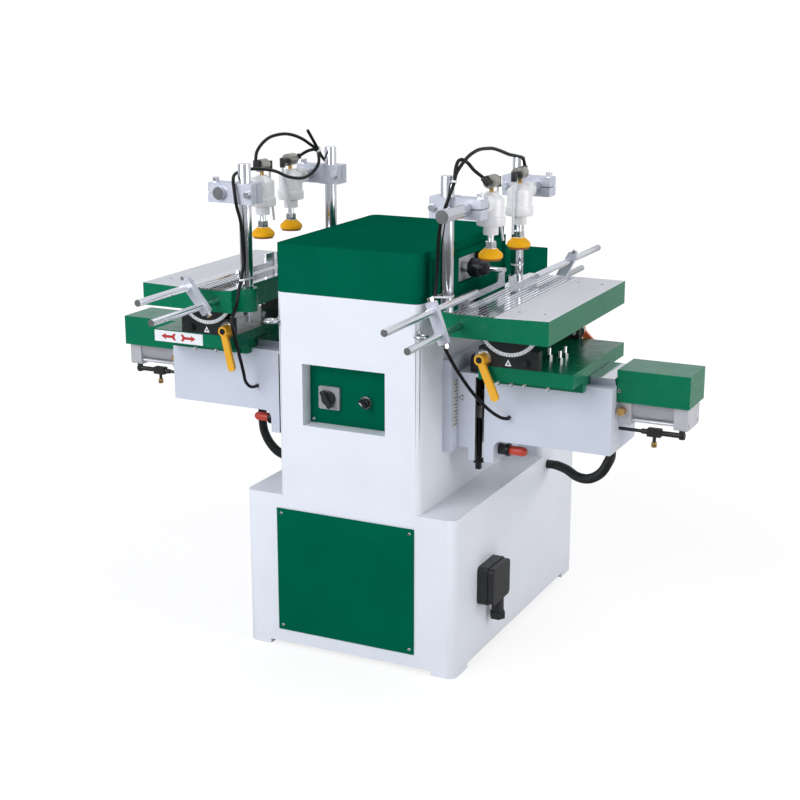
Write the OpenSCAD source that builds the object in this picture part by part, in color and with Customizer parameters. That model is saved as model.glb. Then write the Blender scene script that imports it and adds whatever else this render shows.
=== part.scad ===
// Double-ended slot mortising and tenoning machine with two air-clamp tables.
// X runs to the right along the front, Y to the back and Z up, in millimetres.
// The origin is on the floor at the centre of the base.

/* [Cabinet] */
// Width of the base
base_w = 554; // [500:2:600]
// Depth of the base
base_d = 806; // [790:2:850]
// Height of the base
base_h = 392; // [360:2:410]
// Height of the feet
foot_h = 12; // [8:1:16]
// Width of a foot along the front
foot_w = 60; // [50:1:80]
// Depth of a foot along the side
foot_d = 80; // [70:1:110]
// Bore of the anchor holes in the feet
anchor_bore = 14; // [10:1:18]
// Width of the column
column_w = 370; // [350:2:400]
// Depth of the column
column_d = 508; // [496:2:520]
// Height of the white part of the column above the base
column_rise = 495; // [478:1:518]
// Height of the hood
hood_h = 113; // [108:1:130]
// Wall of the castings
wall = 8; // [6:1:10]
// Thickness of the sheet covers
sheet = 3; // [2:0.5:4]
// Radius of the upright corners
corner_r = 20; // [12:1:24]
// Depth of the housing behind the column
rear_d = 243; // [200:1:260]
// Height of the housing behind the column above the base
rear_rise = 248; // [170:1:300]
// Height of the rear cover's top above the column's top
rear_cover_rise = 8; // [2:1:12]

/* [Panels] */
// Width of the lower door panel
door_w = 365; // [320:1:400]
// Height of the lower door panel
door_h = 313; // [260:1:320]
// Height of the lower edge of the door panel above the floor
door_z = 45; // [35:1:60]
// Sideways offset of the panels
panel_x = -9; // [-20:1:20]
// Width of the control niche
niche_w = 215; // [200:1:230]
// Height of the control niche
niche_h = 149; // [120:1:160]
// Depth of the control niche
niche_depth = 40; // [30:1:50]
// Distance of the middle of the control niche below the column's top
niche_drop = 240; // [230:1:280]
// Side of the square cam switch plate
switch_plate = 55; // [44:1:60]
// Diameter of the selector bezel
selector_d = 33; // [28:1:38]

/* [Spindle] */
// Distance of the spindle behind the front face
spindle_set = 254; // [246:1:262]
// Height of the spindle above the column's top
spindle_rise = 46; // [40:1:52]
// Diameter of the spindle shaft
shaft_d = 25; // [20:1:30]
// Diameter of the chucks
chuck_d = 44; // [38:1:48]
// Length of a chuck
chuck_len = 48; // [40:1:54]
// Diameter of the bits
bit_d = 10; // [6:1:12]
// Length of bit that stands out of the chuck
bit_len = 42; // [30:1:44]
// Swing of the spindle to each side of its middle
swing = 28.7; // [20:0.1:29]
// Radius of the swing crank's pin circle
crank_r = 50; // [46:1:54]

/* [Knee] */
// Thickness of the vertical way plate on the column
way_t = 22; // [18:1:26]
// Width of the vertical way plate
way_w = 250; // [220:2:260]
// Length of the arm from the way plate to its end
arm_len = 378; // [370:1:400]
// Width of the arm
arm_w = 180; // [170:2:190]
// Height of the arm
arm_h = 156; // [140:1:165]
// Width of the knee's upright leg
leg_w = 93; // [88:1:100]
// How far the leg reaches below the arm
leg_drop = 55; // [45:1:60]
// Height of the dovetail way on the arm
way_h = 21; // [18:1:24]
// Width of the dovetail way at its foot
way_foot = 124; // [112:2:128]
// Width of the dovetail way at its top
way_top_w = 154; // [144:2:158]
// Diameter of the lift screw
screw_d = 16; // [12:1:18]
// Travel of the lift downwards
lift_down = 40; // [30:1:45]

/* [Saddle] */
// Length of the saddle along the arm
saddle_len = 226; // [210:1:232]
// Width of the saddle
saddle_w = 360; // [340:2:380]
// Thickness of the saddle above the way
saddle_t = 25; // [20:1:30]
// Distance of the saddle's inner end from the column
saddle_set = 112; // [108:1:118]
// Stroke of the feed
feed = 54; // [40:1:56]
// Radius of the tilt segments
tilt_r = 80; // [74:1:84]
// Thickness of the tilt segments and brackets
tilt_t = 23; // [18:1:28]
// Height of the tilt axis above the table's underside
tilt_rise = 25; // [20:1:30]
// Height of the gap between saddle and table
tilt_gap = 78; // [74:1:84]
// Length of the lock levers
lever_len = 100; // [80:1:105]

/* [Table] */
// Width of the table
table_w = 249; // [240:1:260]
// Length of the table, front to back
table_len = 524; // [500:2:540]
// Height of the table's sides
table_h = 55; // [50:1:60]
// Thickness of the table's top
table_top_t = 22; // [18:1:26]
// Distance of the table's inner edge from the column
table_set = 60; // [56:1:70]
// Height of the spindle above the table
table_drop = 53; // [50:1:60]
// Number of grooves in the table
groove_count = 10; // [4:1:12]
// Spacing of the grooves
groove_pitch = 11; // [9:0.5:12]
// Width of a groove
groove_w = 4; // [2:0.5:6]
// Bore of the tapped holes
tap_bore = 6.8; // [5:0.1:8.5]
// Spacing of the tapped holes across the table
tap_x = 60; // [50:1:70]
// Spacing of the tapped holes along the table
tap_y = 384; // [360:2:390]

/* [Hold-downs] */
// Diameter of the posts
post_d = 30; // [26:1:32]
// Distance between the posts, front to back
post_gap = 422; // [410:2:440]
// Height of the posts above the table
post_h = 292; // [280:1:310]
// Diameter of the clamp bars
bar_d = 30; // [26:1:32]
// Height of the clamp bars above the table
bar_rise = 224; // [220:1:236]
// Distance of the hold-downs from the table's inner edge
hold_x = 40; // [38:1:46]
// Diameter of the hold-down cylinders
hold_d = 60; // [56:1:64]
// Diameter of the pressure pads
pad_d = 56; // [48:1:60]
// Height of the pads above the table
pad_rise = 91; // [86:1:96]
// Stroke of the pads
pad_stroke = 36; // [24:1:36]

/* [Stops] */
// Diameter of the stop rods
stop_d = 16; // [12:1:18]
// Distance between the two rods of a stop
stop_arm = 54; // [50:1:58]
// Distance of the lower rods from the table's inner edge
stop_x = 42; // [38:1:46]
// Length of a hooked stop plate
plate_len = 190; // [150:1:200]

/* [Feed cylinder] */
// Side of the square cylinder caps
cap_w = 94; // [88:1:98]
// Length of a cylinder cap
cap_len = 32; // [26:1:34]
// Length of the whole cylinder
cyl_len = 163; // [158:1:176]
// Bore of the cylinder
cyl_bore = 80; // [70:1:82]
// Diameter of the feed rod
rod_d = 20; // [16:1:24]
// Width of the cylinder cover
cover_w = 120; // [112:1:130]
// Height of the cylinder cover
cover_h = 75; // [70:1:80]

/* [Tubes] */
// Diameter of the air tubes
tube_d = 8; // [6:0.5:9]
// Diameter of the exhaust tubes
exhaust_d = 6; // [4:0.5:7]
// Outer diameter of the ribbed hoses
hose_d = 24; // [20:1:28]
// Number of ribs on a hose
rib_count = 60; // [20:1:90]

/* [Hidden] */
$fn = 48;
// Running clearance on a radius
run_gap = 0.05;
// Clearance between sliding flat faces
slide_gap = 0.3;
// Seat of a small piece on the piece that carries it
seat_gap = 0.1;
// Overlap of shapes that are one piece
lap = 1;

front_y = -base_d / 2;
back_y = base_d / 2;
column_back = front_y + column_d;
column_y = front_y + column_d / 2;
rear_y = back_y - rear_d / 2;
side_x = column_w / 2;
column_h = base_h + column_rise;
rear_h = base_h + rear_rise;
rear_cover_h = column_h + rear_cover_rise;
niche_z = column_h - niche_drop;
hood_z = column_h + hood_h;
spindle_y = front_y + spindle_set;
spindle_z = column_h + spindle_rise;

// Heights of the stacked pieces of a work station
table_z = spindle_z - table_drop;
table_under = table_z - table_h;
saddle_z = table_under - tilt_gap;
way_z = saddle_z - saddle_t;
arm_z = way_z - way_h;
arm_under = arm_z - arm_h;
leg_under = arm_under - leg_drop;
tilt_z = table_under + tilt_rise;

// Places along X of the right-hand station
way_x = side_x + way_t;
arm_x = way_x + slide_gap;
arm_end = way_x + arm_len;
leg_x = way_x + leg_w;
table_x = side_x + table_set;
tilt_x = table_x + table_w / 2;
post_x = table_x - 13;
hold_at = table_x + hold_x;
rod_at = table_x + stop_x;
saddle_x = side_x + saddle_set;
saddle_end = saddle_x + saddle_len;

// Rail that carries the knee
rail_neck_w = 60;
rail_neck_t = 18;
rail_head_w = 90;
rail_head_t = 20;
rail_under = arm_under - 31;
rail_top = arm_z - lift_down - 13;
way_under = rail_under;
way_plate_top = arm_z + 34;
knee_wall = 10;
lip_x = way_x + 30;
lip_z = leg_under + 30;
notch_r = 20;
screw_x = way_x + 42;
screw_v = -rail_head_w / 2 - 3 - screw_d / 2;
nut_h = 30;
nut_z = rail_top - 58;
dome_d = 44;
dome_h = 41;
lock_z = leg_under + 25;
lock_v = -50;
lock_pin = 10;
lock_hub = 20;
lock_washer = 7;
lock_grip = 30;
slot_x = screw_x + 4;
slot_w = 23;
slot_top = 8;
dove_x = screw_x + dome_d / 2 + 6;
tube_hole_x = way_x + 131;
tube_hole_z = arm_z - 95;

// Feed cylinder and its rod
cyl_z = arm_z - cap_w / 2 + 3;
lug_x = saddle_x + 123;
lug_t = 20;
lug_w = 23;
piston_t = 20;
piston_x = arm_end + cap_len + 5;
barrel_wall = 4;

// Tilt mechanism
bracket_half = 72;
bracket_h = 43;
bracket_v = saddle_w / 2 - tilt_t / 2;
beam_half = 60;
beam_h = 30;
pivot_x = tilt_x - 60.5;
pivot_z = saddle_z + 17;
lever_tilt = -65.7;
left_lever_tilt = -102.5;
rear_lever_tilt = 225;
rear_pivot_x = tilt_x + 36;
rear_bracket_end = tilt_x + 47;
pivot_d = 12;

// Hold-downs
post_v = post_gap / 2;
bar_z = table_z + bar_rise;
ear_r = 24;
pad_z = table_z + pad_rise;
pad_h = 27;
nut_t = 15;
neck_d = 35;
neck_h = 21;
neck_z = pad_z + pad_h + nut_t + 16;
body_z = neck_z + neck_h;
body_h = 63;
dome_t = 12;
hold_rod = 14;
piston_h = 11;
head_t = 9;
boss_d = 40;
boss_len = 26;
clamp_h = 48;
clamp_w = 50;
clamp_slit = 2.5;
right_hold_v = [-88, 85];
left_hold_v = [-43, 96];
right_bar_v = [-358, post_v + 66];
left_bar_v = [-243, post_v + 66];

// Stops: swing angle from upright, clamp place and the inner end of the upper rod, for front and rear
stop_z = table_under + 26;
right_front_stop = [-20, -359, -131, -599];
right_rear_stop = [28, 370, 135, 590];
left_front_stop = [39, -321, -101, -531];
left_rear_stop = [28, 370, 205, 600];
left_plate_len = 150;
lower_reach = 268;
lower_seat = 60;
bar_t = 14;
stop_bar_w = 24;
plate_t = 5;
plate_h = 15;
hook_h = 36;
hook_w = 40;
plate_rise = 4;

// Middle drive
guide_d = 20;
guide_x = 80;
guide_z = column_h - 25;
carriage_t = 33;
carriage_half = 60;
motor_d = 110;
motor_half = 125;
neck_tube_d = 64;
shutter_t = 3.5;
shutter_gap = 1.5;
shutter_h = 68;
window_half = swing + neck_tube_d / 2 + 1.3;
shutter_half = window_half + swing + 4.3;
window_h = 60;
cover_proud = 10;
side_cover_v = [-210, 226];
side_cover_z = [column_h - 37, column_h + 91];
yoke_h = 23;
pin_d = 16;
pin_gap = 1;
crank_d = 130;
crank_t = 12;
yoke_z = guide_z - carriage_t / 2 - yoke_h;
crank_top = yoke_z - 4;
shelf_t = 10;
shelf_z = crank_top - crank_t - slide_gap - shelf_t;
crank_shaft = 20;
crank_depth = 50;
shelf_half = 80;
gear_half = 55;
gear_h = 80;
gear_motor_d = 100;
gear_motor_h = 130;

white = [0.88, 0.89, 0.93];
green = [0.0, 0.36, 0.24];
steel = [0.75, 0.76, 0.78];
alloy = [0.82, 0.82, 0.84];
black = [0.08, 0.09, 0.09];
yellow = [0.95, 0.62, 0.08];

// Routes of the air tubes, measured from the inner top edge of the station's own table
right_main_route = [
    [16, -133, 297], [13, -158, 314], [10, -183, 325], [8, -203, 323], [8, -217, 306], [8, -222, 282],
    [7, -233, 266], [3, -246, 242], [-6, -247, 215], [-16, -240, 190], [-26, -229, 150], [-29, -225, 110],
    [-31, -225, 70], [-32, -231, 30], [-31, -242, 0], [-27, -245, -35], [-17, -244, -65], [-5, -236, -90],
    [13, -216, -138], [39, -186, -195], [63, -151, -240], [81, -121, -266]
];
right_arc_route = [
    [40, 99, 302], [39, 75, 308], [36, 22, 318], [33, -18, 329], [30, -56, 338], [27, -86, 341],
    [24, -123, 342], [21, -155, 337], [18, -180, 328], [14, -203, 313], [10, -217, 298], [8, -222, 282]
];
left_main_route = [
    [-3, 164, 288], [-7, 159, 256], [-4, 129, 234], [-1, 84, 226], [1, 19, 236], [1, -51, 258],
    [7, -131, 271], [13, -181, 270], [11, -215, 266], [1, -238, 254], [-7, -246, 228], [-11, -245, 196],
    [-15, -236, 160], [-17, -233, 110], [-19, -233, 70], [-19, -245, 30], [-18, -256, 3], [-16, -265, -29],
    [-2, -258, -58], [20, -232, -78], [36, -205, -98], [42, -187, -122], [44, -170, -152],
    [50, -150, -187], [56, -130, -217], [53, -115, -247], [46, -107, -266]
];
left_arc_route = [
    [39, -66, 303], [35, -50, 320], [30, -25, 333], [25, 3, 338], [20, 40, 338], [14, 76, 331],
    [9, 109, 319], [4, 135, 305], [-3, 164, 288]
];
left_branch_route = [[12, 134, 287], [4, 150, 290], [-3, 164, 288]];
left_spare_route = [[8, 222, 254], [5, 196, 270], [-2, 164, 292], [-3, 138, 316], [0, 117, 341]];
// Routes of the hoses from the wall they leave, with heights as shares of the way from the base up to the arm
right_hose_route = [
    [0, 338, -0.183], [26, 338, -0.183], [70, 292, -0.131], [130, 205, -0.039], [190, 120, 0.144],
    [240, 55, 0.405], [270, 15, 0.68]
];
left_hose_route = [
    [0, -38, 0.131], [26, -38, 0.131], [75, -36, 0.131], [135, -31, 0.157], [165, -24, 0.235],
    [181, -17, 0.405], [187, -13, 0.621]
];
right_hose_x = arm_end - 27;
left_hose_x = side_x + 187;
left_hose_v = -11;
hose_web = 22;
// Turns of the inlet elbows of the front and the rear valve, away from straight up
right_inlet_turn = [-45, 0];
left_inlet_turn = [0, -60];
// Leans of the hanging ends of the front and the rear exhaust tube, with their heights above the pads
right_exhaust_lean = [[14, 2, 12], [0, -2, 12]];
left_exhaust_lean = [[-8, 3, 12], [-26, -2, 12]];

// A box between two corners
module box(x, y, z) {
    translate([x[0], y[0], z[0]])
        cube([x[1] - x[0], y[1] - y[0], z[1] - z[0]]);
}

// A flat outline with round corners
module round_rect(w, d, r) {
    square([w - 2 * r, d], center = true);
    square([w, d - 2 * r], center = true);
    for (i = [-1, 1], j = [-1, 1])
        translate([i * (w / 2 - r), j * (d / 2 - r)])
            circle(r);
}

// A block with round upright corners
module slab(w, d, r, z) {
    translate([0, 0, z[0]])
        linear_extrude(z[1] - z[0])
            round_rect(w, d, r);
}

// An outline in Y and Z drawn out along X
module along_x(x) {
    translate([x[0], 0, 0])
        rotate([90, 0, 90])
            linear_extrude(x[1] - x[0])
                children();
}

// An outline in X and Z drawn out along Y
module along_y(y) {
    translate([0, y[1], 0])
        rotate([90, 0, 0])
            linear_extrude(y[1] - y[0])
                children();
}

// Round bars along the axes
module bar_x(x, y, z, d) {
    translate([x[0], y, z])
        rotate([0, 90, 0])
            cylinder(d = d, h = x[1] - x[0]);
}

module bar_y(x, y, z, d) {
    translate([x, y[1], z])
        rotate([90, 0, 0])
            cylinder(d = d, h = y[1] - y[0]);
}

module bar_z(x, y, z, d) {
    translate([x, y, z[0]])
        cylinder(d = d, h = z[1] - z[0]);
}

// A hexagon head or nut along Z, measured across its flats
module hex_z(x, y, z, flats) {
    translate([x, y, z[0]])
        cylinder(d = flats / cos(30), h = z[1] - z[0], $fn = 6);
}

// Stations: pieces are drawn for the right-hand end, with Y from the spindle's plane
module right_side() {
    translate([0, spindle_y, 0])
        children();
}

module left_side() {
    translate([0, spindle_y, 0])
        mirror([1, 0, 0])
            children();
}

// What rides on the left saddle stands drawn back by the feed
module left_table_side() {
    translate([-feed, spindle_y, 0])
        mirror([1, 0, 0])
            children();
}

// Smooth curve through the points of a route
function spline(a, b, c, d, t) =
    0.5 * (2 * b + (c - a) * t + (2 * a - 5 * b + 4 * c - d) * t * t + (3 * b - a - 3 * c + d) * t * t * t);
function smooth(p, n) = [
    for (i = [0:len(p) - 2], k = [0:n - 1])
        spline(p[max(i - 1, 0)], p[i], p[i + 1], p[min(i + 2, len(p) - 1)], k / n),
    p[len(p) - 1]
];
function unit(v) = v / norm(v);
function heading(p, i) = unit(p[min(i + 1, len(p) - 1)] - p[max(i - 1, 0)]);
function side_of(t) = unit(cross(t, abs(t[2]) > 0.8 ? [1, 0, 0] : [0, 0, 1]));
function carried(side, t) = unit(side - (side * t) * t);
function sides(p, i = 0, s = []) =
    i == len(p) ? s
    : sides(p, i + 1, concat(s, [i == 0 ? side_of(heading(p, 0)) : carried(s[i - 1], heading(p, i))]));

// One tube along a path, with its own radius at every ring
module tube(p, radius, n = 8) {
    s = sides(p);
    rings = [
        for (i = [0:len(p) - 1], k = [0:n - 1])
            let (t = heading(p, i), b = cross(t, s[i]), a = 360 * k / n)
            p[i] + radius[i] * (cos(a) * s[i] + sin(a) * b)
    ];
    last = (len(p) - 1) * n;
    walls = [
        for (i = [0:len(p) - 2], k = [0:n - 1], half = [0, 1])
            let (a = i * n + k, b = i * n + (k + 1) % n)
            half == 0 ? [a, a + n, b] : [b, a + n, b + n]
    ];
    ends = [
        for (k = [1:n - 2], e = [0, 1])
            e == 0 ? [0, k, k + 1] : [last, last + k + 1, last + k]
    ];
    polyhedron(points = rings, faces = concat(walls, ends));
}

// A tube along a route, with a straight lead out of its port
module plain_tube(route, d, lead = [0, 0, 0]) {
    p = norm(lead) == 0 ? smooth(route, 2) : concat([route[0] - lead], smooth(route, 2));
    tube(p, [for (q = p) d / 2]);
}

// Points at even steps along a path
function lengths(p, i = 0, s = [0]) =
    i == len(p) - 1 ? s : lengths(p, i + 1, concat(s, [s[i] + norm(p[i + 1] - p[i])]));
function place(p, s, at, i = 0) =
    i >= len(p) - 2 || s[i + 1] >= at
    ? p[i] + (p[i + 1] - p[i]) * (at - s[i]) / (s[i + 1] - s[i])
    : place(p, s, at, i + 1);

// Least gap between parts of a hose that lie more than three diameters apart along it
function least_gap(p, s) = min([
    for (i = [0:len(p) - 1], j = [0:len(p) - 1])
        s[j] - s[i] > 3 * hose_d ? norm(p[j] - p[i]) - hose_d : 1000
]);

// A ribbed hose with straight plain ends and a bore
module ribbed_hose(route, name) {
    n = 6;
    p = smooth(route, n);
    s = lengths(p);
    total = s[len(s) - 1];
    pitch = (total - 2 * hose_d) / rib_count;
    end = len(p) - 1;
    at = [for (i = [0:rib_count - 1], k = [1 / 4, 3 / 4]) hose_d + (i + k) * pitch];
    path = concat(
        [p[0], p[0] + hose_d * unit(route[1] - route[0])],
        [for (a = at) place(p, s, a)],
        [p[end] - hose_d * unit(p[end] - route[len(route) - 2]), p[end]]
    );
    plain = hose_d / 2 - 1;
    ribs = [for (i = [0:len(at) - 1]) i % 2 == 0 ? hose_d / 2 : hose_d / 2 - 2];
    radius = concat([plain, plain], ribs, [plain, plain]);
    bore = concat(
        [p[0] - lap * unit(route[1] - route[0])],
        [for (i = [n:2:end - n]) p[i]],
        [p[end] + lap * unit(p[end] - route[len(route) - 2])]
    );
    echo(str(name, " length ", total, " and least gap to itself ", least_gap(p, s)));
    difference() {
        tube(path, radius);
        tube(bore, [for (q = bore) hose_d / 2 - 5]);
    }
}

// Cabinet
module cabinet() {
    color(white)
        difference() {
            union() {
                difference() {
                    cabinet_outside();
                    cabinet_hollow();
                }
                cabinet_feet();
                box(
                    [panel_x - niche_w / 2 - wall, panel_x + niche_w / 2 + wall],
                    [front_y + wall / 2, front_y + niche_depth + wall],
                    [niche_z - niche_h / 2 - wall, niche_z + niche_h / 2 + wall]
                );
            }
            box(
                [panel_x - niche_w / 2, panel_x + niche_w / 2],
                [front_y - lap, front_y + niche_depth],
                [niche_z - niche_h / 2, niche_z + niche_h / 2]
            );
            box(
                [panel_x - door_w / 2 + 20, panel_x + door_w / 2 - 20],
                [front_y - lap, front_y + wall + lap],
                [door_z + 20, door_z + door_h - 20]
            );
            for (i = [-1, 1], j = [-1, 1])
                bar_z(i * anchor_x, j * anchor_y, [-lap, foot_h + wall + lap], anchor_bore);
            for (i = [0, 1])
                column_corner(i)
                    bar_x([0, corner_r + lap], 0, 0, eye_shank + 2 * run_gap);
        }
}

anchor_x = base_w / 2 - wall - 26;
anchor_y = base_d / 2 - wall - 40;

module cabinet_outside() {
    slab(base_w, base_d, corner_r, [foot_h, base_h]);
    translate([0, column_y, 0])
        slab(column_w, column_d, corner_r, [base_h - wall / 2, column_h]);
    translate([0, rear_y, 0])
        slab(base_w, rear_d, corner_r, [base_h - wall / 2, rear_h]);
}

module cabinet_hollow() {
    slab(base_w - 2 * wall, base_d - 2 * wall, corner_r - wall / 2, [-lap, base_h - wall]);
    translate([0, column_y, 0])
        slab(
            column_w - 2 * wall, column_d - 2 * wall, corner_r - wall / 2,
            [base_h - 2 * wall, column_h + lap]
        );
    translate([0, rear_y, 0])
        slab(base_w - 2 * wall, rear_d - 2 * wall, corner_r - wall / 2, [base_h - 2 * wall, rear_h - wall]);
}

module cabinet_feet() {
    linear_extrude(foot_h + wall)
        intersection() {
            round_rect(base_w, base_d, corner_r);
            for (i = [-1, 1], j = [-1, 1])
                translate([i * (base_w - foot_w) / 2, j * (base_d - foot_d) / 2])
                    square([foot_w, foot_d], center = true);
        }
}

// Hood with a proud cover on each side, open where the spindle swings
module hood() {
    color(green) {
        difference() {
            translate([0, column_y, 0])
                slab(column_w, column_d, corner_r, [column_h, hood_z]);
            translate([0, column_y, 0])
                slab(
                    column_w - 2 * sheet, column_d - 2 * sheet, corner_r - sheet,
                    [column_h - lap, hood_z - sheet]
                );
            box(
                [-side_x - lap, side_x + lap],
                [spindle_y - shutter_half + 12, spindle_y + shutter_half - 12],
                [spindle_z - window_h / 2 - 2, spindle_z + window_h / 2 + 2]
            );
        }
        right_side()
            side_cover();
        left_side()
            side_cover();
    }
}

module side_cover() {
    face = side_x + seat_gap;
    difference() {
        box([face, face + cover_proud], side_cover_v, side_cover_z);
        box(
            [face - lap, face + cover_proud - sheet],
            [side_cover_v[0] + sheet, side_cover_v[1] - sheet],
            [side_cover_z[0] + sheet, side_cover_z[1] - sheet]
        );
        box(
            [face, face + cover_proud + lap],
            [-window_half, window_half],
            [spindle_z - window_h / 2, spindle_z + window_h / 2]
        );
    }
}

module rear_cover() {
    color(green)
        difference() {
            box([-side_x, side_x], [column_back, back_y], [rear_h, rear_cover_h]);
            box(
                [-side_x + sheet, side_x - sheet],
                [column_back - lap, back_y - sheet],
                [rear_h + sheet, rear_cover_h - sheet]
            );
        }
}

module lower_panel() {
    color(green)
        box(
            [panel_x - door_w / 2, panel_x + door_w / 2],
            [front_y - sheet, front_y],
            [door_z, door_z + door_h]
        );
}

// Control panel at the bottom of the niche, with the switch plate and the selector bezel
panel_y = front_y + niche_depth - sheet;
switch_at = [panel_x - 53, niche_z - 9];
selector_at = [panel_x + 43, niche_z - 9];
plate_depth = 8;
knob_shaft = 8;

module control_panel() {
    color(green) {
        difference() {
            box(
                [panel_x - niche_w / 2 + 1, panel_x + niche_w / 2 - 1],
                [panel_y, panel_y + sheet],
                [niche_z - niche_h / 2 + 1, niche_z + niche_h / 2 - 1]
            );
            for (q = [switch_at, selector_at])
                bar_y(q[0], [panel_y - lap, panel_y + sheet + lap], q[1], knob_shaft + 2 * run_gap);
        }
        translate([switch_at[0], panel_y - seat_gap, switch_at[1]])
            rotate([90, 0, 0])
                difference() {
                    linear_extrude(plate_depth)
                        round_rect(switch_plate, switch_plate, 4);
                    translate([0, 0, -lap])
                        cylinder(d = knob_shaft + 2 * run_gap, h = plate_depth + 2 * lap);
                }
        translate([selector_at[0], panel_y - seat_gap, selector_at[1]])
            rotate([90, 0, 0])
                difference() {
                    cylinder(d1 = selector_d, d2 = selector_d - 3, h = plate_depth);
                    translate([0, 0, -lap])
                        cylinder(d = knob_shaft + 2 * run_gap, h = plate_depth + 2 * lap);
                }
    }
}

// A turning knob with a grip bar, on its own shaft
module knob(d, grip, turn) {
    translate([0, 0, -plate_depth - sheet])
        cylinder(d = knob_shaft, h = plate_depth + sheet + lap);
    cylinder(d1 = d, d2 = d - 3, h = 8);
    rotate([0, 0, turn])
        translate([0, 0, 7])
            linear_extrude(11)
                round_rect(grip, d / 3, d / 6 - 0.5);
}

module power_knob() {
    color(black)
        translate([switch_at[0], panel_y - seat_gap - plate_depth - slide_gap, switch_at[1]])
            rotate([90, 0, 0])
                knob(36, 46, -60);
}

module selector_knob() {
    color(black)
        translate([selector_at[0], panel_y - seat_gap - plate_depth - slide_gap, selector_at[1]])
            rotate([90, 0, 0])
                knob(25, 25, -45);
}

// Panel screws and lifting eye bolts
screw_head = 9;
eye_r = 14;
eye_wire = 8;
eye_z = column_h - 69;
eye_shank = 9;

module panel_screw(x, y, z) {
    translate([x, y, z])
        rotate([90, 0, 0])
            cylinder(d1 = screw_head, d2 = screw_head - 4, h = 2.5);
}

// The front corners of the column, looking outwards across the corner
module column_corner(i) {
    mirror([i, 0, 0])
        translate([side_x - corner_r, front_y + corner_r, eye_z])
            rotate([0, 0, -45])
                children();
}

module eye_bolt() {
    difference() {
        translate([corner_r - 3, 0, 0])
            rotate([0, 90, 0])
                cylinder(d = 18, h = 7);
        cylinder(r = corner_r + slide_gap, h = 40, center = true);
    }
    translate([corner_r - wall - 4, 0, 0])
        rotate([0, 90, 0])
            cylinder(d = eye_shank, h = wall + 14);
    translate([corner_r + eye_r + 6, 0, 0])
        rotate_extrude()
            translate([eye_r, 0])
                circle(d = eye_wire);
}

module fasteners() {
    color(steel) {
        for (i = [-1, 1], j = [-1, 1]) {
            panel_screw(
                panel_x + i * (door_w / 2 - 12), front_y - sheet, door_z + door_h / 2 + j * (door_h / 2 - 12)
            );
            panel_screw(
                panel_x + i * (niche_w / 2 - 9), panel_y, niche_z + j * (niche_h / 2 - 9)
            );
        }
        for (i = [0, 1])
            column_corner(i)
                eye_bolt();
    }
}

// Vertical ways on the column's sides, each with its rail and lift nut
module vertical_ways() {
    color(white) {
        right_side()
            vertical_way();
        left_side()
            vertical_way();
    }
}

module vertical_way() {
    head_x = way_x + rail_neck_t;
    nut_reach = screw_x + screw_d / 2 + 6;
    nut_v = screw_v - screw_d / 2 - 7;
    difference() {
        union() {
            box([side_x, way_x], [-way_w / 2, way_w / 2], [way_under, way_plate_top]);
            box([way_x - lap, head_x + lap], [-rail_neck_w / 2, rail_neck_w / 2], [rail_under, rail_top]);
            box([head_x, head_x + rail_head_t], [-rail_head_w / 2, rail_head_w / 2], [rail_under, rail_top]);
            box([head_x, nut_reach], [nut_v, -rail_head_w / 2 + lap], [nut_z, nut_z + nut_h]);
        }
        bar_z(screw_x, screw_v, [nut_z - lap, nut_z + nut_h + lap], screw_d + 2 * run_gap);
    }
}

// Inlet box on the right side of the base
inlet_y = [-271, -163];
inlet_z = [140, 236];
inlet_depth = 42;
gland_x = 24;
gland_y = inlet_y[1] - 34;
gland_d = 30;
gland_len = 38;
gland_nut = 34;
gland_nut_h = 17;

module inlet_box() {
    mid = [(inlet_y[0] + inlet_y[1]) / 2, (inlet_z[0] + inlet_z[1]) / 2];
    size = [inlet_y[1] - inlet_y[0], inlet_z[1] - inlet_z[0]];
    face = base_w / 2;
    color(black) {
        along_x([face, face + inlet_depth * 0.62])
            translate(mid)
                round_rect(size[0], size[1], 12);
        along_x([face + inlet_depth * 0.62 - lap, face + inlet_depth])
            translate(mid)
                round_rect(size[0] - 5, size[1] - 5, 12);
        gland = inlet_z[0] - gland_len;
        bar_z(face + gland_x, gland_y, [gland, inlet_z[0] + lap], gland_d);
        hex_z(face + gland_x, gland_y, [gland + lap - gland_nut_h, gland + lap], gland_nut);
    }
}

// Guide rods of the spindle carriage, and the shelf with the swing gear motor
module swing_drive() {
    color(steel) {
        for (i = [-1, 1])
            bar_y(i * guide_x, [front_y + wall, column_back - wall], guide_z, guide_d);
        difference() {
            union() {
                box(
                    [-side_x + wall, side_x - wall],
                    [spindle_y - shelf_half, spindle_y + shelf_half],
                    [shelf_z, shelf_z + shelf_t]
                );
                box(
                    [-gear_half, gear_half],
                    [spindle_y - gear_half, spindle_y + gear_half],
                    [shelf_z - gear_h, shelf_z + lap]
                );
                bar_z(
                    0, spindle_y, [shelf_z - gear_h - gear_motor_h, shelf_z - gear_h + lap], gear_motor_d
                );
            }
            bar_z(
                0, spindle_y, [shelf_z - crank_depth - 10, shelf_z + shelf_t + lap],
                crank_shaft + 2 * run_gap
            );
        }
    }
}

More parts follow.
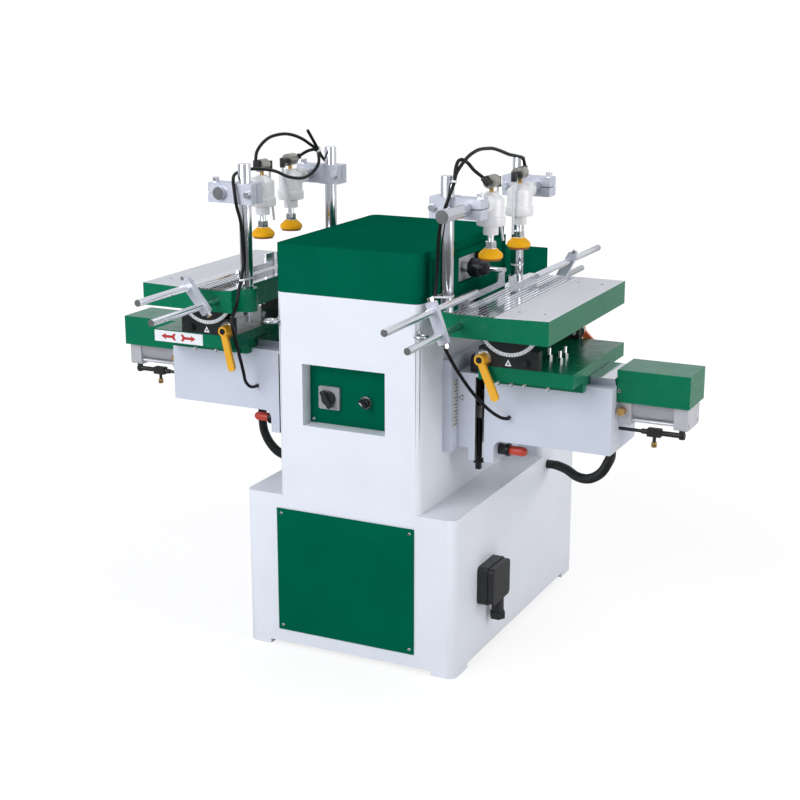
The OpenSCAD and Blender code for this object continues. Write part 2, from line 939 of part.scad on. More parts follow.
// Spindle motor on its carriage, with a shutter behind each window
module spindle_motor() {
    shutter_x = side_x - sheet - shutter_gap;
    color(steel)
        right_side()
            difference() {
                union() {
                    box(
                        [-guide_x - 25, guide_x + 25],
                        [-carriage_half, carriage_half],
                        [guide_z - carriage_t / 2, guide_z + carriage_t / 2]
                    );
                    box([-100, 100], [-45, 45], [guide_z, spindle_z]);
                    box([-carriage_half - 12, carriage_half + 12], [-24, 24], [yoke_z, guide_z]);
                    bar_x([-motor_half, motor_half], 0, spindle_z, motor_d);
                    bar_x([-shutter_x, shutter_x], 0, spindle_z, neck_tube_d);
                    for (i = [0, 1])
                        mirror([i, 0, 0])
                            box(
                                [shutter_x - shutter_t, shutter_x],
                                [-shutter_half, shutter_half],
                                [spindle_z - shutter_h / 2, spindle_z + shutter_h / 2]
                            );
                }
                bar_x([-shutter_x - lap, shutter_x + lap], 0, spindle_z, shaft_d + 2 * run_gap);
                for (i = [-1, 1])
                    bar_y(
                        i * guide_x, [-carriage_half - lap, carriage_half + lap], guide_z,
                        guide_d + 2 * run_gap
                    );
                box(
                    [crank_r - pin_d / 2 - 14, crank_r + pin_d / 2 + 4],
                    [-pin_d / 2 - pin_gap, pin_d / 2 + pin_gap],
                    [yoke_z - lap, guide_z - carriage_t / 2 + 4]
                );
            }
}

// Spindle shaft with a chuck and a bit at each end
chuck_x = side_x + 12;

module spindle() {
    nose = chuck_x + chuck_len;
    color(black)
        right_side() {
            difference() {
                union() {
                    bar_x([-chuck_x - lap, chuck_x + lap], 0, spindle_z, shaft_d);
                    for (i = [0, 1])
                        mirror([i, 0, 0])
                            translate([chuck_x, 0, spindle_z])
                                rotate([0, 90, 0])
                                    rotate_extrude()
                                        chuck_outline();
                }
                for (i = [0, 1])
                    mirror([i, 0, 0])
                        bar_x([nose - 20, nose + lap], 0, spindle_z, bit_d + 2 * seat_gap);
            }
            for (i = [0, 1])
                mirror([i, 0, 0])
                    bar_x([nose - 19, nose + bit_len], 0, spindle_z, bit_d);
        }
}

module chuck_outline() {
    polygon([
        [0, 0], [chuck_d / 2 - 4, 0], [chuck_d / 2, 4], [chuck_d / 2, chuck_len * 0.55],
        [chuck_d / 2 - 5, chuck_len * 0.6], [chuck_d / 2 - 5, chuck_len * 0.8], [chuck_d / 2 - 10, chuck_len],
        [0, chuck_len]
    ]);
}

module swing_crank() {
    color(steel)
        right_side() {
            bar_z(0, 0, [crank_top - crank_t, crank_top], crank_d);
            bar_z(crank_r, 0, [crank_top - lap, yoke_z + yoke_h - 2], pin_d);
            bar_z(0, 0, [shelf_z - crank_depth, crank_top - lap], crank_shaft);
        }
}

// Knee: upright leg on the rail, arm with its dovetail way
module knee_outline() {
    polygon([
        [arm_x, lip_z], [lip_x, lip_z], [lip_x, leg_under], [leg_x, leg_under], [leg_x, arm_under],
        [arm_end, arm_under], [arm_end, arm_z], [arm_x, arm_z]
    ]);
    difference() {
        translate([leg_x - lap, arm_under - notch_r])
            square([notch_r + lap, notch_r + lap]);
        translate([leg_x + notch_r, arm_under - notch_r])
            circle(notch_r);
    }
}

module knee(hose_x) {
    jaw = way_x + rail_neck_t - slide_gap;
    inner = arm_w / 2 - knee_wall;
    ceiling = arm_z - knee_wall;
    difference() {
        union() {
            difference() {
                along_y([-arm_w / 2, arm_w / 2])
                    knee_outline();
                box([jaw, leg_x - knee_wall], [-inner, inner], [leg_under - lap, ceiling]);
                box([leg_x, arm_end - knee_wall], [-inner, inner], [arm_under - notch_r - lap, ceiling]);
            }
            box(
                [hose_x - hose_web, hose_x + hose_web],
                [-inner - lap, inner + lap],
                [arm_under, arm_under + knee_wall]
            );
            along_x([dove_x, arm_end])
                polygon([
                    [-way_foot / 2, arm_z - lap], [-way_foot / 2, arm_z], [-way_top_w / 2, way_z],
                    [way_top_w / 2, way_z], [way_foot / 2, arm_z], [way_foot / 2, arm_z - lap]
                ]);
        }
        box(
            [arm_x - lap, jaw + lap],
            [-rail_neck_w / 2 - slide_gap, rail_neck_w / 2 + slide_gap],
            [leg_under - lap, ceiling]
        );
        bar_z(screw_x, screw_v, [ceiling - lap, arm_z + lap], screw_d + 2 * run_gap);
        box(
            [lug_x - 3, lug_x + lug_t + feed + 3],
            [-lug_w / 2 - 1, lug_w / 2 + 1],
            [ceiling - lap, way_z + lap]
        );
        box(
            [slot_x, slot_x + slot_w],
            [-arm_w / 2 - lap, -inner + lap],
            [leg_under - lap, arm_z - slot_top]
        );
        bar_x([arm_end - knee_wall - lap, arm_end + lap], 0, cyl_z, rod_d + 4);
        bar_x([leg_x - knee_wall - lap, leg_x + lap], lock_v, lock_z, lock_pin + 2 * run_gap);
        bar_y(tube_hole_x, [-arm_w / 2 - lap, -inner + lap], tube_hole_z, tube_d + 2);
    }
}

module right_knee() {
    color(white)
        right_side()
            knee(right_hose_x);
}

module left_knee() {
    color(white)
        left_side()
            knee(left_hose_x);
}

// Lift screw: domed cap on the arm, plain screw through the nut, nut and square end below the leg
module lift_screw() {
    cap_r = dome_d / 2;
    translate([screw_x, screw_v, arm_z + slide_gap])
        rotate_extrude() {
            square([cap_r, dome_h - cap_r / 2]);
            translate([0, dome_h - cap_r / 2])
                square([cap_r / 2, cap_r / 2]);
            translate([cap_r / 2, dome_h - cap_r / 2])
                intersection() {
                    circle(cap_r / 2);
                    square(cap_r);
                }
        }
    bar_z(screw_x, screw_v, [leg_under - 6, arm_z + lap], screw_d);
    hex_z(screw_x, screw_v, [leg_under - 13, leg_under - 5], 24);
    translate([screw_x, screw_v, leg_under - 21])
        cube([12, 12, 18], center = true);
}

module right_lift_screw() {
    color(black)
        right_side()
            lift_screw();
}

module left_lift_screw() {
    color(black)
        left_side()
            lift_screw();
}

// Lift lock: clamp pin through the leg's wall with a hub, a washer and a red grip
module lift_lock() {
    out = leg_x + slide_gap;
    grip = lock_hub + lock_washer;
    translate([out, lock_v, lock_z])
        rotate([0, 90, 0]) {
            translate([0, 0, -knee_wall - 6])
                cylinder(d = lock_pin, h = knee_wall + 7);
            cylinder(d = 26, h = lock_hub);
            translate([0, 0, lock_hub - 1])
                cylinder(d = 31, h = lock_washer);
            translate([0, 0, grip - 2])
                cylinder(d1 = 18, d2 = 22, h = 8);
            translate([0, 0, grip + 5])
                cylinder(d = 22, h = lock_grip);
            translate([0, 0, grip + 4 + lock_grip])
                cylinder(d1 = 22, d2 = 14, h = 7);
        }
}

module right_lift_lock() {
    color("firebrick")
        right_side()
            lift_lock();
}

module left_lift_lock() {
    color("firebrick")
        left_side()
            lift_lock();
}

// Feed cylinder on the arm's end, with its silencer and its flow valve line
cyl_end = arm_end + cyl_len;
tie_at = cap_w / 2 - 11;
tie_d = 8;
valve_line_z = cyl_z - cap_w / 2 - 14;

module cap_outline() {
    translate([0, cyl_z])
        round_rect(cap_w, cap_w, 8);
}

module feed_cylinder() {
    difference() {
        union() {
            along_x([arm_end, arm_end + cap_len])
                cap_outline();
            along_x([cyl_end - cap_len, cyl_end])
                cap_outline();
            bar_x([arm_end + lap, cyl_end - lap], 0, cyl_z, cyl_bore + 2 * barrel_wall);
            for (i = [-1, 1], j = [-1, 1])
                bar_x([arm_end + lap, cyl_end + 2], i * tie_at, cyl_z + j * tie_at, tie_d);
        }
        bar_x([arm_end + cap_len, cyl_end - cap_len], 0, cyl_z, cyl_bore);
        bar_x([arm_end - lap, arm_end + cap_len + lap], 0, cyl_z, rod_d + 2 * run_gap);
    }
    silencer();
    valve_line();
}

module silencer() {
    at = [arm_end + 13, -cap_w / 2 - seat_gap, cyl_z - 13];
    bar_y(at[0], [at[1] - 6, at[1]], at[2], 12);
    translate([at[0], at[1] - 5, at[2]])
        rotate([90, 0, 0])
            cylinder(d = 18, h = 16);
}

// Elbow under the outer cap, flow valve with its screw, and the tube to the arm's end
module valve_line() {
    v = -30;
    elbow_x = cyl_end - cap_len / 2;
    valve_x = (arm_end + cyl_end) / 2 + 2;
    bar_z(elbow_x, v, [valve_line_z - 8, cyl_z - cap_w / 2 - seat_gap], 14);
    bar_x([valve_x + 10, elbow_x + 7], v, valve_line_z, 12);
    box([valve_x - 16, valve_x + 16], [v - 9, v + 9], [valve_line_z - 9, valve_line_z + 9]);
    bar_z(valve_x, v, [valve_line_z - 24, valve_line_z - 8], 8);
    bar_z(valve_x, v, [valve_line_z - 34, valve_line_z - 23], 13);
    bar_x([valve_x - 30, valve_x - 10], v, valve_line_z, 12);
    bar_x([arm_end + seat_gap, valve_x - 29], v, valve_line_z, tube_d);
}

module right_feed_cylinder() {
    color(alloy)
        right_side()
            feed_cylinder();
}

module left_feed_cylinder() {
    color(alloy)
        left_side()
            feed_cylinder();
}

// Sheet cover over the feed cylinder, open below and towards the arm
cover_z = cyl_z + cap_w / 2 + 36;
cover_past = 6;

module cylinder_cover() {
    out = cyl_end + cover_past;
    difference() {
        box([arm_end, out], [-cover_w / 2, cover_w / 2], [cover_z - cover_h, cover_z]);
        box(
            [arm_end - lap, out - sheet],
            [-cover_w / 2 + sheet, cover_w / 2 - sheet],
            [cover_z - cover_h - lap, cover_z - sheet]
        );
    }
}

module right_cylinder_cover() {
    color(green)
        right_side()
            cylinder_cover();
}

module left_cylinder_cover() {
    color(green)
        left_side()
            cylinder_cover();
}

// Saddle on the dovetail way, with its lug down to the feed rod
skirt_drop = 11;
skirt_t = 21;

module saddle() {
    g = slide_gap;
    skirt = arm_w / 2 + g;
    difference() {
        union() {
            box([saddle_x, saddle_end], [-saddle_w / 2, saddle_w / 2], [way_z - 8, saddle_z]);
            box(
                [saddle_x, saddle_end],
                [-skirt - skirt_t, skirt + skirt_t],
                [arm_z - skirt_drop, way_z]
            );
        }
        along_x([saddle_x - lap, saddle_end + lap])
            polygon([
                [-way_foot / 2 - g, arm_z], [-way_top_w / 2 - g, way_z + g],
                [way_top_w / 2 + g, way_z + g], [way_foot / 2 + g, arm_z]
            ]);
        box([saddle_x - lap, saddle_end + lap], [-skirt, skirt], [arm_z - skirt_drop - lap, arm_z + g]);
    }
    difference() {
        box([lug_x, lug_x + lug_t], [-lug_w / 2, lug_w / 2], [cyl_z - rod_d / 2 - 8, way_z + lap]);
        bar_x([lug_x - lap, lug_x + lug_t + lap], 0, cyl_z, rod_d + 2 * run_gap);
    }
}

module right_saddle() {
    color(green)
        right_side()
            saddle();
}

module left_saddle() {
    color(green)
        left_table_side()
            saddle();
}

// Feed piston with its rod and end nut
module feed_rod() {
    bar_x([piston_x, piston_x + piston_t], 0, cyl_z, cyl_bore - 2 * seat_gap);
    bar_x([lug_x - 14, piston_x + lap], 0, cyl_z, rod_d);
    bar_x([lug_x + lug_t + seat_gap, lug_x + lug_t + 8], 0, cyl_z, rod_d + 12);
}

module right_feed_rod() {
    color(steel)
        right_side()
            feed_rod();
}

module left_feed_rod() {
    color(steel)
        left_table_side()
            feed_rod();
}

// Tilt brackets at both ends of the saddle, each with a round seat, and the stop bolts
stop_bolts = [[48, -47], [80, -64], [75, -16]];
stop_bolt_h = 24;

module tilt_bracket() {
    for (i = [-1, 1])
        difference() {
            along_y([i * bracket_v - tilt_t / 2, i * bracket_v + tilt_t / 2])
                difference() {
                    translate([tilt_x - bracket_half, saddle_z + seat_gap])
                        square([
                            i < 0 ? 2 * bracket_half : rear_bracket_end - tilt_x + bracket_half,
                            bracket_h - seat_gap
                        ]);
                    translate([tilt_x, tilt_z])
                        circle(tilt_r);
                }
            bar_y(
                i < 0 ? pivot_x : rear_pivot_x,
                [i * bracket_v - tilt_t, i * bracket_v + tilt_t], pivot_z, pivot_d + 2 * run_gap
            );
        }
    bar_y(
        tilt_x + 42, [-saddle_w / 2 - 8, -saddle_w / 2 - seat_gap], saddle_z + 15, 18
    );
    for (q = stop_bolts) {
        bar_z(tilt_x + q[0], q[1], [saddle_z + seat_gap, saddle_z + stop_bolt_h], 8);
        hex_z(tilt_x + q[0], q[1], [saddle_z + seat_gap, saddle_z + 8], 13);
    }
}

module right_tilt_bracket() {
    color(black)
        right_side()
            tilt_bracket();
}

module left_tilt_bracket() {
    color(black)
        left_table_side()
            tilt_bracket();
}

// Lock lever with its clamp pin, hub and tapered arm, pointing along its turn
module lock_lever(turn) {
    rotate([0, 0, turn])
        linear_extrude(9) {
            polygon([[0, -8], [lever_len - 9, -9], [lever_len - 9, 9], [0, 8]]);
            translate([lever_len - 9, 0])
                circle(9);
        }
    translate([0, 0, -11])
        cylinder(d1 = 30, d2 = 24, h = 22);
    translate([0, 0, -14])
        cylinder(d = 33, h = 4);
    translate([0, 0, -14 - tilt_t - 4])
        cylinder(d = pivot_d, h = tilt_t + 5);
}

module front_lock_lever(turn) {
    translate([pivot_x, -saddle_w / 2 - 14 - slide_gap, pivot_z])
        rotate([90, 0, 0])
            lock_lever(turn);
}

module rear_lock_lever() {
    translate([rear_pivot_x, saddle_w / 2 + 14 + slide_gap, pivot_z])
        rotate([90, 0, 180])
            lock_lever(rear_lever_tilt);
}

module right_lock_lever() {
    color(yellow)
        right_side()
            front_lock_lever(lever_tilt);
}

module left_lock_lever() {
    color(yellow)
        left_table_side()
            front_lock_lever(left_lever_tilt);
}

module right_rear_lock_lever() {
    color("orangered")
        right_side()
            rear_lock_lever();
}

module left_rear_lock_lever() {
    color("orangered")
        left_table_side()
            rear_lock_lever();
}

// Table: ground top with grooves and tapped holes, hollow underneath, two ears for the posts
table_rim = 17;
rib_half = 20;
groove_depth = 3;
first_groove = 22;
tap_at = 184;
stud_d = 12;
stud_drop = 28;

module table() {
    half = table_len / 2;
    pocket_top = table_z - table_top_t;
    difference() {
        union() {
            box([table_x, table_x + table_w], [-half, half], [table_under, table_z]);
            for (i = [-1, 1]) {
                bar_z(post_x, i * post_v, [table_under, table_z], 2 * ear_r);
                box(
                    [post_x, table_x + lap],
                    [i * post_v - ear_r, i * post_v + ear_r],
                    [table_under, table_z]
                );
            }
        }
        for (i = [-1, 1]) {
            box(
                [table_x + table_rim, table_x + table_w - table_rim],
                i < 0 ? [-half + table_rim, -bracket_v - rib_half] : [bracket_v + rib_half, half - table_rim],
                [table_under - lap, pocket_top]
            );
            bar_z(post_x, i * post_v, [table_under + 8, table_z + lap], post_d + 2 * run_gap);
            bar_z(post_x, i * post_v, [table_under - lap, table_under + 9], stud_d + 2 * seat_gap);
            bar_y(
                rod_at,
                i < 0 ? [-half - lap, -half + lower_seat + 2] : [half - lower_seat - 2, half + lap],
                stop_z, stop_d + 2 * run_gap
            );
        }
        for (i = [-1, 1])
            box(
                i < 0
                    ? [table_x + table_rim, tilt_x - beam_half]
                    : [tilt_x + beam_half, table_x + table_w - table_rim],
                [-bracket_v + rib_half, bracket_v - rib_half],
                [table_under - lap, pocket_top]
            );
        for (k = [0:groove_count - 1])
            box(
                [for (e = [0, groove_w]) table_x + first_groove + k * groove_pitch + e],
                [-half - lap, half + lap],
                [table_z - groove_depth, table_z + lap]
            );
        for (i = [-1, 1], j = [-1, 1])
            bar_z(
                table_x + tap_at + i * tap_x / 2, j * tap_y / 2, [pocket_top - lap, table_z + lap], tap_bore
            );
    }
}

module right_table() {
    color(green)
        right_side()
            table();
}

module left_table() {
    color(green)
        left_table_side()
            table();
}

// Tilt segments under the table with the beam between them
module tilt_segment() {
    for (i = [-1, 1])
        along_y([i * bracket_v - tilt_t / 2, i * bracket_v + tilt_t / 2])
            intersection() {
                translate([tilt_x, tilt_z])
                    circle(tilt_r - slide_gap);
                translate([tilt_x - tilt_r, tilt_z - 2 * tilt_r])
                    square([2 * tilt_r, 2 * tilt_r - tilt_rise]);
            }
    box(
        [tilt_x - beam_half + 8, tilt_x + beam_half - 8],
        [-bracket_v, bracket_v],
        [table_under - beam_h, table_under]
    );
}

module right_tilt_segment() {
    color(black)
        right_side()
            tilt_segment();
}

module left_tilt_segment() {
    color(black)
        left_table_side()
            tilt_segment();
}

// Posts with their studs and nuts, and the bars that carry the hold-downs
module clamp_posts(hold_v, bar_v) {
    for (i = [0, 1]) {
        v = i == 0 ? -post_v : post_v;
        bar_z(post_x, v, [table_under + 8 + seat_gap, table_z + post_h], post_d);
        bar_z(post_x, v, [table_under - stud_drop, table_under + 9], stud_d);
        hex_z(post_x, v, [table_under - 12, table_under - seat_gap], 19);
        seat = hold_v[i] + (i == 0 ? -1 : 1) * (hold_d / 2 + 5);
        bar_y(hold_at, i == 0 ? [bar_v[0], seat] : [seat, bar_v[1]], bar_z, bar_d);
    }
}

module right_clamp_posts() {
    color(steel)
        right_side()
            clamp_posts(right_hold_v, right_bar_v);
}

module left_clamp_posts() {
    color(steel)
        left_table_side()
            clamp_posts(left_hold_v, left_bar_v);
}

// Cross clamp between a post and a bar, with its slits and pinch bolts
module cross_clamp(v) {
    low = bar_z - clamp_h / 2;
    top = bar_z + clamp_h / 2;
    inner = post_x - post_d / 2 - 18;
    outer = hold_at + bar_d / 2 + 20;
    difference() {
        union() {
            box([inner, post_x + post_d / 2 + 6], [v - clamp_w / 2, v + clamp_w / 2], [low, top]);
            box([post_x, outer], [v - clamp_w / 2 + 4, v + clamp_w / 2 - 4], [low + 1, top - 1]);
            hex_z(outer - 10, v, [top - 2, top + 10], 15);
            translate([inner + 9, v - clamp_w / 2 + lap, bar_z])
                rotate([90, 0, 0])
                    cylinder(d = 15 / cos(30), h = 10, $fn = 6);
        }
        bar_z(post_x, v, [low - lap, top + lap], post_d + 2 * run_gap);
        bar_y(hold_at, [v - clamp_w, v + clamp_w], bar_z, bar_d + 2 * run_gap);
        box(
            [hold_at, outer + lap],
            [v - clamp_w, v + clamp_w],
            [bar_z - clamp_slit / 2, bar_z + clamp_slit / 2]
        );
        box([inner - lap, post_x], [v - clamp_slit / 2, v + clamp_slit / 2], [low - lap, top + lap]);
    }
}

module cross_clamps() {
    for (i = [-1, 1])
        cross_clamp(i * post_v);
}

module right_cross_clamps() {
    color(alloy)
        right_side()
            cross_clamps();
}

module left_cross_clamps() {
    color(alloy)
        left_table_side()
            cross_clamps();
}

// Hold-down cylinder with its boss for the bar, and the exhaust valve on top
valve_d = 30;
valve_rise = 34;

module hold_down(v, way, inlet_turn) {
    top = body_z + body_h;
    boss = [v + way * hold_d / 3, v + way * (hold_d / 2 + boss_len)];
    difference() {
        union() {
            translate([hold_at, v, neck_z])
                rotate_extrude()
                    hold_down_outline();
            bar_y(hold_at, [min(boss), max(boss)], bar_z, boss_d);
        }
        bar_z(hold_at, v, [top - head_t - piston_h - pad_stroke - lap, top - head_t + 3], hold_d - 12);
        bar_z(hold_at, v, [neck_z - lap, top - head_t], hold_rod + 2 * run_gap);
        bar_y(
            hold_at,
            [min(v + way * (hold_d / 2 + 5), boss[1] + way), max(v + way * (hold_d / 2 + 5), boss[1] + way)],
            bar_z, bar_d + 2 * run_gap
        );
    }
    bar_z(hold_at, v, [top + dome_t + seat_gap, top + dome_t + 10], 10);
    exhaust_valve(v, way, inlet_turn);
}

module hold_down_outline() {
    r = hold_d / 2;
    polygon([
        [0, 0], [neck_d / 2, 0], [neck_d / 2, neck_h], [r + 1, neck_h], [r + 3, neck_h + 2],
        [r + 3, neck_h + 20], [r, neck_h + 22], [r, neck_h + body_h - 3], [r - 4, neck_h + body_h],
        [12, neck_h + body_h + dome_t], [0, neck_h + body_h + dome_t]
    ]);
}

// Drum valve lying along Y, with a turned inlet elbow at one end and an exhaust elbow at the other
module exhaust_valve(v, way, inlet_turn) {
    inlet_v = v + way * (valve_half + inlet_len);
    outlet_v = v - way * (valve_half + elbow_len);
    bar_y(hold_at, [v - valve_half, v + valve_half], valve_z, valve_d);
    bar_y(hold_at, [min(inlet_v, outlet_v), max(inlet_v, outlet_v)], valve_z, elbow_d);
    bar_z(hold_at, outlet_v, [valve_z - elbow_drop, valve_z + elbow_top], elbow_d);
    translate([hold_at, inlet_v, valve_z])
        rotate([0, inlet_turn, 0])
            translate([0, 0, -elbow_top])
                cylinder(d = elbow_d, h = elbow_top + inlet_rise);
}

module hold_down_cylinders(hold_v, inlet_turn) {
    hold_down(hold_v[0], -1, inlet_turn[0]);
    hold_down(hold_v[1], 1, inlet_turn[1]);
}

module right_hold_down_cylinders() {
    color(alloy)
        right_side()
            hold_down_cylinders(right_hold_v, right_inlet_turn);
}

module left_hold_down_cylinders() {
    color(alloy)
        left_table_side()
            hold_down_cylinders(left_hold_v, left_inlet_turn);
}

// Pressure pad: mushroom, lock nut, rod and piston
module pad(v) {
    r = pad_d / 2;
    translate([hold_at, v, pad_z])
        rotate_extrude()
            polygon([
                [0, 0], [r - 4, 0], [r - 3, 3], [r, 6], [r, 13], [r - 3, 17], [14, pad_h], [0, pad_h]
            ]);
    hex_z(hold_at, v, [pad_z + pad_h - lap, pad_z + pad_h + nut_t], 24);
    piston = body_z + body_h - head_t;
    bar_z(hold_at, v, [pad_z + pad_h, piston - lap], hold_rod);
    bar_z(hold_at, v, [piston - piston_h, piston], hold_d - 12 - 2 * seat_gap);
}

module right_front_pad() {
    color(yellow)
        right_side()
            pad(right_hold_v[0]);
}

module right_rear_pad() {
    color(yellow)
        right_side()
            pad(right_hold_v[1]);
}

module left_front_pad() {
    color(yellow)
        left_table_side()
            pad(left_hold_v[0]);
}

module left_rear_pad() {
    color(yellow)
        left_table_side()
            pad(left_hold_v[1]);
}

// Stop arm: lower rod in the table's side, and the clamp bar swung about it
module stop_arm_piece(stop, way) {
    half = table_len / 2;
    ends = way < 0 ? [-half - lower_reach, -half + lower_seat] : [half - lower_seat, half + lower_reach + 5];
    v = stop[1];
    long = stop_arm / 2 + 21;
    bar_y(rod_at, ends, stop_z, stop_d);
    translate([rod_at, v, stop_z])
        rotate([0, stop[0], 0])
            difference() {
                union() {
                    along_y([-bar_t / 2, bar_t / 2])
                        translate([0, stop_arm / 2])
                            round_rect(stop_bar_w, 2 * long, 4);
                    for (i = [-1, 1])
                        hex_z(0, 0, i < 0 ? [-21 - 9, -20] : [stop_arm + 20, stop_arm + 30], 13);
                }
                bar_y(0, [-bar_t, bar_t], stop_arm, stop_d + 2 * run_gap);
            }
}

// Upper stop rod with its hooked plate
module stop_rod(stop, reach) {
    way = stop[1] < 0 ? -1 : 1;
    x = rod_at + stop_arm * sin(stop[0]);
    z = stop_z + stop_arm * cos(stop[0]);
    inner_x = x - stop_d / 2 + 1;
    base = table_z + plate_rise;
    tip = stop[2] - way * reach;
    grip = stop[2] + way * 22;
    hook = tip + way * hook_w;
    bar_y(x, [min(stop[2], stop[3]), max(stop[2], stop[3])], z, stop_d);
    box([inner_x - plate_t, inner_x], [min(tip, grip), max(tip, grip)], [base, base + plate_h]);
    box([inner_x - plate_t, inner_x], [min(tip, hook), max(tip, hook)], [base, base + hook_h]);
    box([inner_x - lap, x], [min(grip, stop[2]), max(grip, stop[2])], [z - stop_d / 2 + 1, base + plate_h]);
}

module right_front_stop_arm() {
    color(steel)
        right_side()
            stop_arm_piece(right_front_stop, -1);
}

module right_front_stop_rod() {
    color(steel)
        right_side()
            stop_rod(right_front_stop, plate_len);
}

module right_rear_stop_arm() {
    color(steel)
        right_side()
            stop_arm_piece(right_rear_stop, 1);
}

module right_rear_stop_rod() {
    color(steel)
        right_side()
            stop_rod(right_rear_stop, left_plate_len);
}

module left_front_stop_arm() {
    color(steel)
        left_table_side()
            stop_arm_piece(left_front_stop, -1);
}

module left_front_stop_rod() {
    color(steel)
        left_table_side()
            stop_rod(left_front_stop, left_plate_len);
}

module left_rear_stop_arm() {
    color(steel)
        left_table_side()
            stop_arm_piece(left_rear_stop, 1);
}

module left_rear_stop_rod() {
    color(steel)
        left_table_side()
            stop_rod(left_rear_stop, left_plate_len);
}

// Air tubes from the valves to the arm, and the exhaust tubes that hang from the valves
valve_z = body_z + body_h + dome_t + valve_rise - 10;
valve_half = 17;
inlet_len = 10;
inlet_rise = 14;
elbow_d = 14;
elbow_len = hold_d / 2 - valve_half + 8;
elbow_drop = 16;
elbow_top = 7;

function at_table(route) = [for (q = route) q + [table_x, 0, table_z]];
port_lead = 4;
function inlet_way(turn) = [sin(turn), 0, cos(turn)];
function inlet_port(v, way, turn) = [
    [hold_at, v + way * (valve_half + inlet_len), valve_z]
        + (inlet_rise + seat_gap + port_lead) * inlet_way(turn)
];
function arm_port(x) = [
    [x, -arm_w / 2 - 12, tube_hole_z], [x, -arm_w / 2 + 6, tube_hole_z]
];

module exhaust_tube(v, way, lean) {
    from = v - way * (valve_half + elbow_len);
    top = valve_z - elbow_drop - seat_gap;
    plain_tube(
        [
            [hold_at, from, top - port_lead], [hold_at, from, top - 25],
            [hold_at + lean[0] / 2, from + lean[1] / 2, top - 80],
            [hold_at + lean[0], from + lean[1], pad_z + pad_h + lean[2]]
        ],
        exhaust_d, [0, 0, -port_lead]
    );
}

module right_air_tubes() {
    turn = right_inlet_turn;
    front = inlet_port(right_hold_v[0], -1, turn[0]);
    main = concat(front, at_table(right_main_route), arm_port(tube_hole_x));
    arc = concat(inlet_port(right_hold_v[1], 1, turn[1]), at_table(right_arc_route));
    color(black)
        right_side() {
            plain_tube(main, tube_d, port_lead * inlet_way(turn[0]));
            plain_tube(arc, tube_d, port_lead * inlet_way(turn[1]));
            exhaust_tube(right_hold_v[0], -1, right_exhaust_lean[0]);
            exhaust_tube(right_hold_v[1], 1, right_exhaust_lean[1]);
        }
}

module left_air_tubes() {
    main = concat(at_table(left_main_route), arm_port(tube_hole_x - feed));
    turn = left_inlet_turn;
    arc = concat(inlet_port(left_hold_v[0], -1, turn[0]), at_table(left_arc_route));
    branch = concat(inlet_port(left_hold_v[1], 1, turn[1]), at_table(left_branch_route));
    color(black)
        left_table_side() {
            plain_tube(main, tube_d);
            plain_tube(arc, tube_d, port_lead * inlet_way(turn[0]));
            plain_tube(branch, tube_d, port_lead * inlet_way(turn[1]));
            plain_tube(at_table(left_spare_route), tube_d);
            exhaust_tube(left_hold_v[0], -1, left_exhaust_lean[0]);
            exhaust_tube(left_hold_v[1], 1, left_exhaust_lean[1]);
        }
}

// Hoses from the cabinet to the webs under the arms
function hose_path(from, route, x, v) = concat(
    [for (q = route) [q[0] + from + seat_gap, q[1], base_h + q[2] * (arm_under - base_h)]],
    [[x, v, arm_under - hose_d - 2], [x, v, arm_under - seat_gap]]
);

module right_hose() {
    color(black)
        right_side()
            ribbed_hose(hose_path(base_w / 2, right_hose_route, right_hose_x, 0), "right hose");
}

module left_hose() {
    color(black)
        left_side()
            ribbed_hose(hose_path(side_x, left_hose_route, left_hose_x, left_hose_v), "left hose");
}

cabinet();
hood();
rear_cover();
lower_panel();
control_panel();
fasteners();
vertical_ways();
inlet_box();
swing_drive();
spindle_motor();
spindle();
swing_crank();
power_knob();
selector_knob();
right_knee();
right_lift_screw();
right_lift_lock();
right_feed_cylinder();
right_cylinder_cover();
right_saddle();
right_tilt_bracket();
right_feed_rod();
right_lock_lever();
right_rear_lock_lever();
right_table();
right_tilt_segment();
right_clamp_posts();
right_cross_clamps();
right_hold_down_cylinders();
right_front_pad();
right_rear_pad();
right_front_stop_arm();
right_front_stop_rod();
right_rear_stop_arm();
right_rear_stop_rod();
right_air_tubes();
right_hose();
left_knee();
left_lift_screw();
left_lift_lock();
left_feed_cylinder();
left_cylinder_cover();
left_saddle();
left_tilt_bracket();
left_feed_rod();
left_lock_lever();
left_rear_lock_lever();
left_table();
left_tilt_segment();
left_clamp_posts();
left_cross_clamps();
left_hold_down_cylinders();
left_front_pad();
left_rear_pad();
left_front_stop_arm();
left_front_stop_rod();
left_rear_stop_arm();
left_rear_stop_rod();
left_air_tubes();
left_hose();
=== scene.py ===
"""Looks of the double-ended tenoning machine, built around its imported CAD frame."""
import math

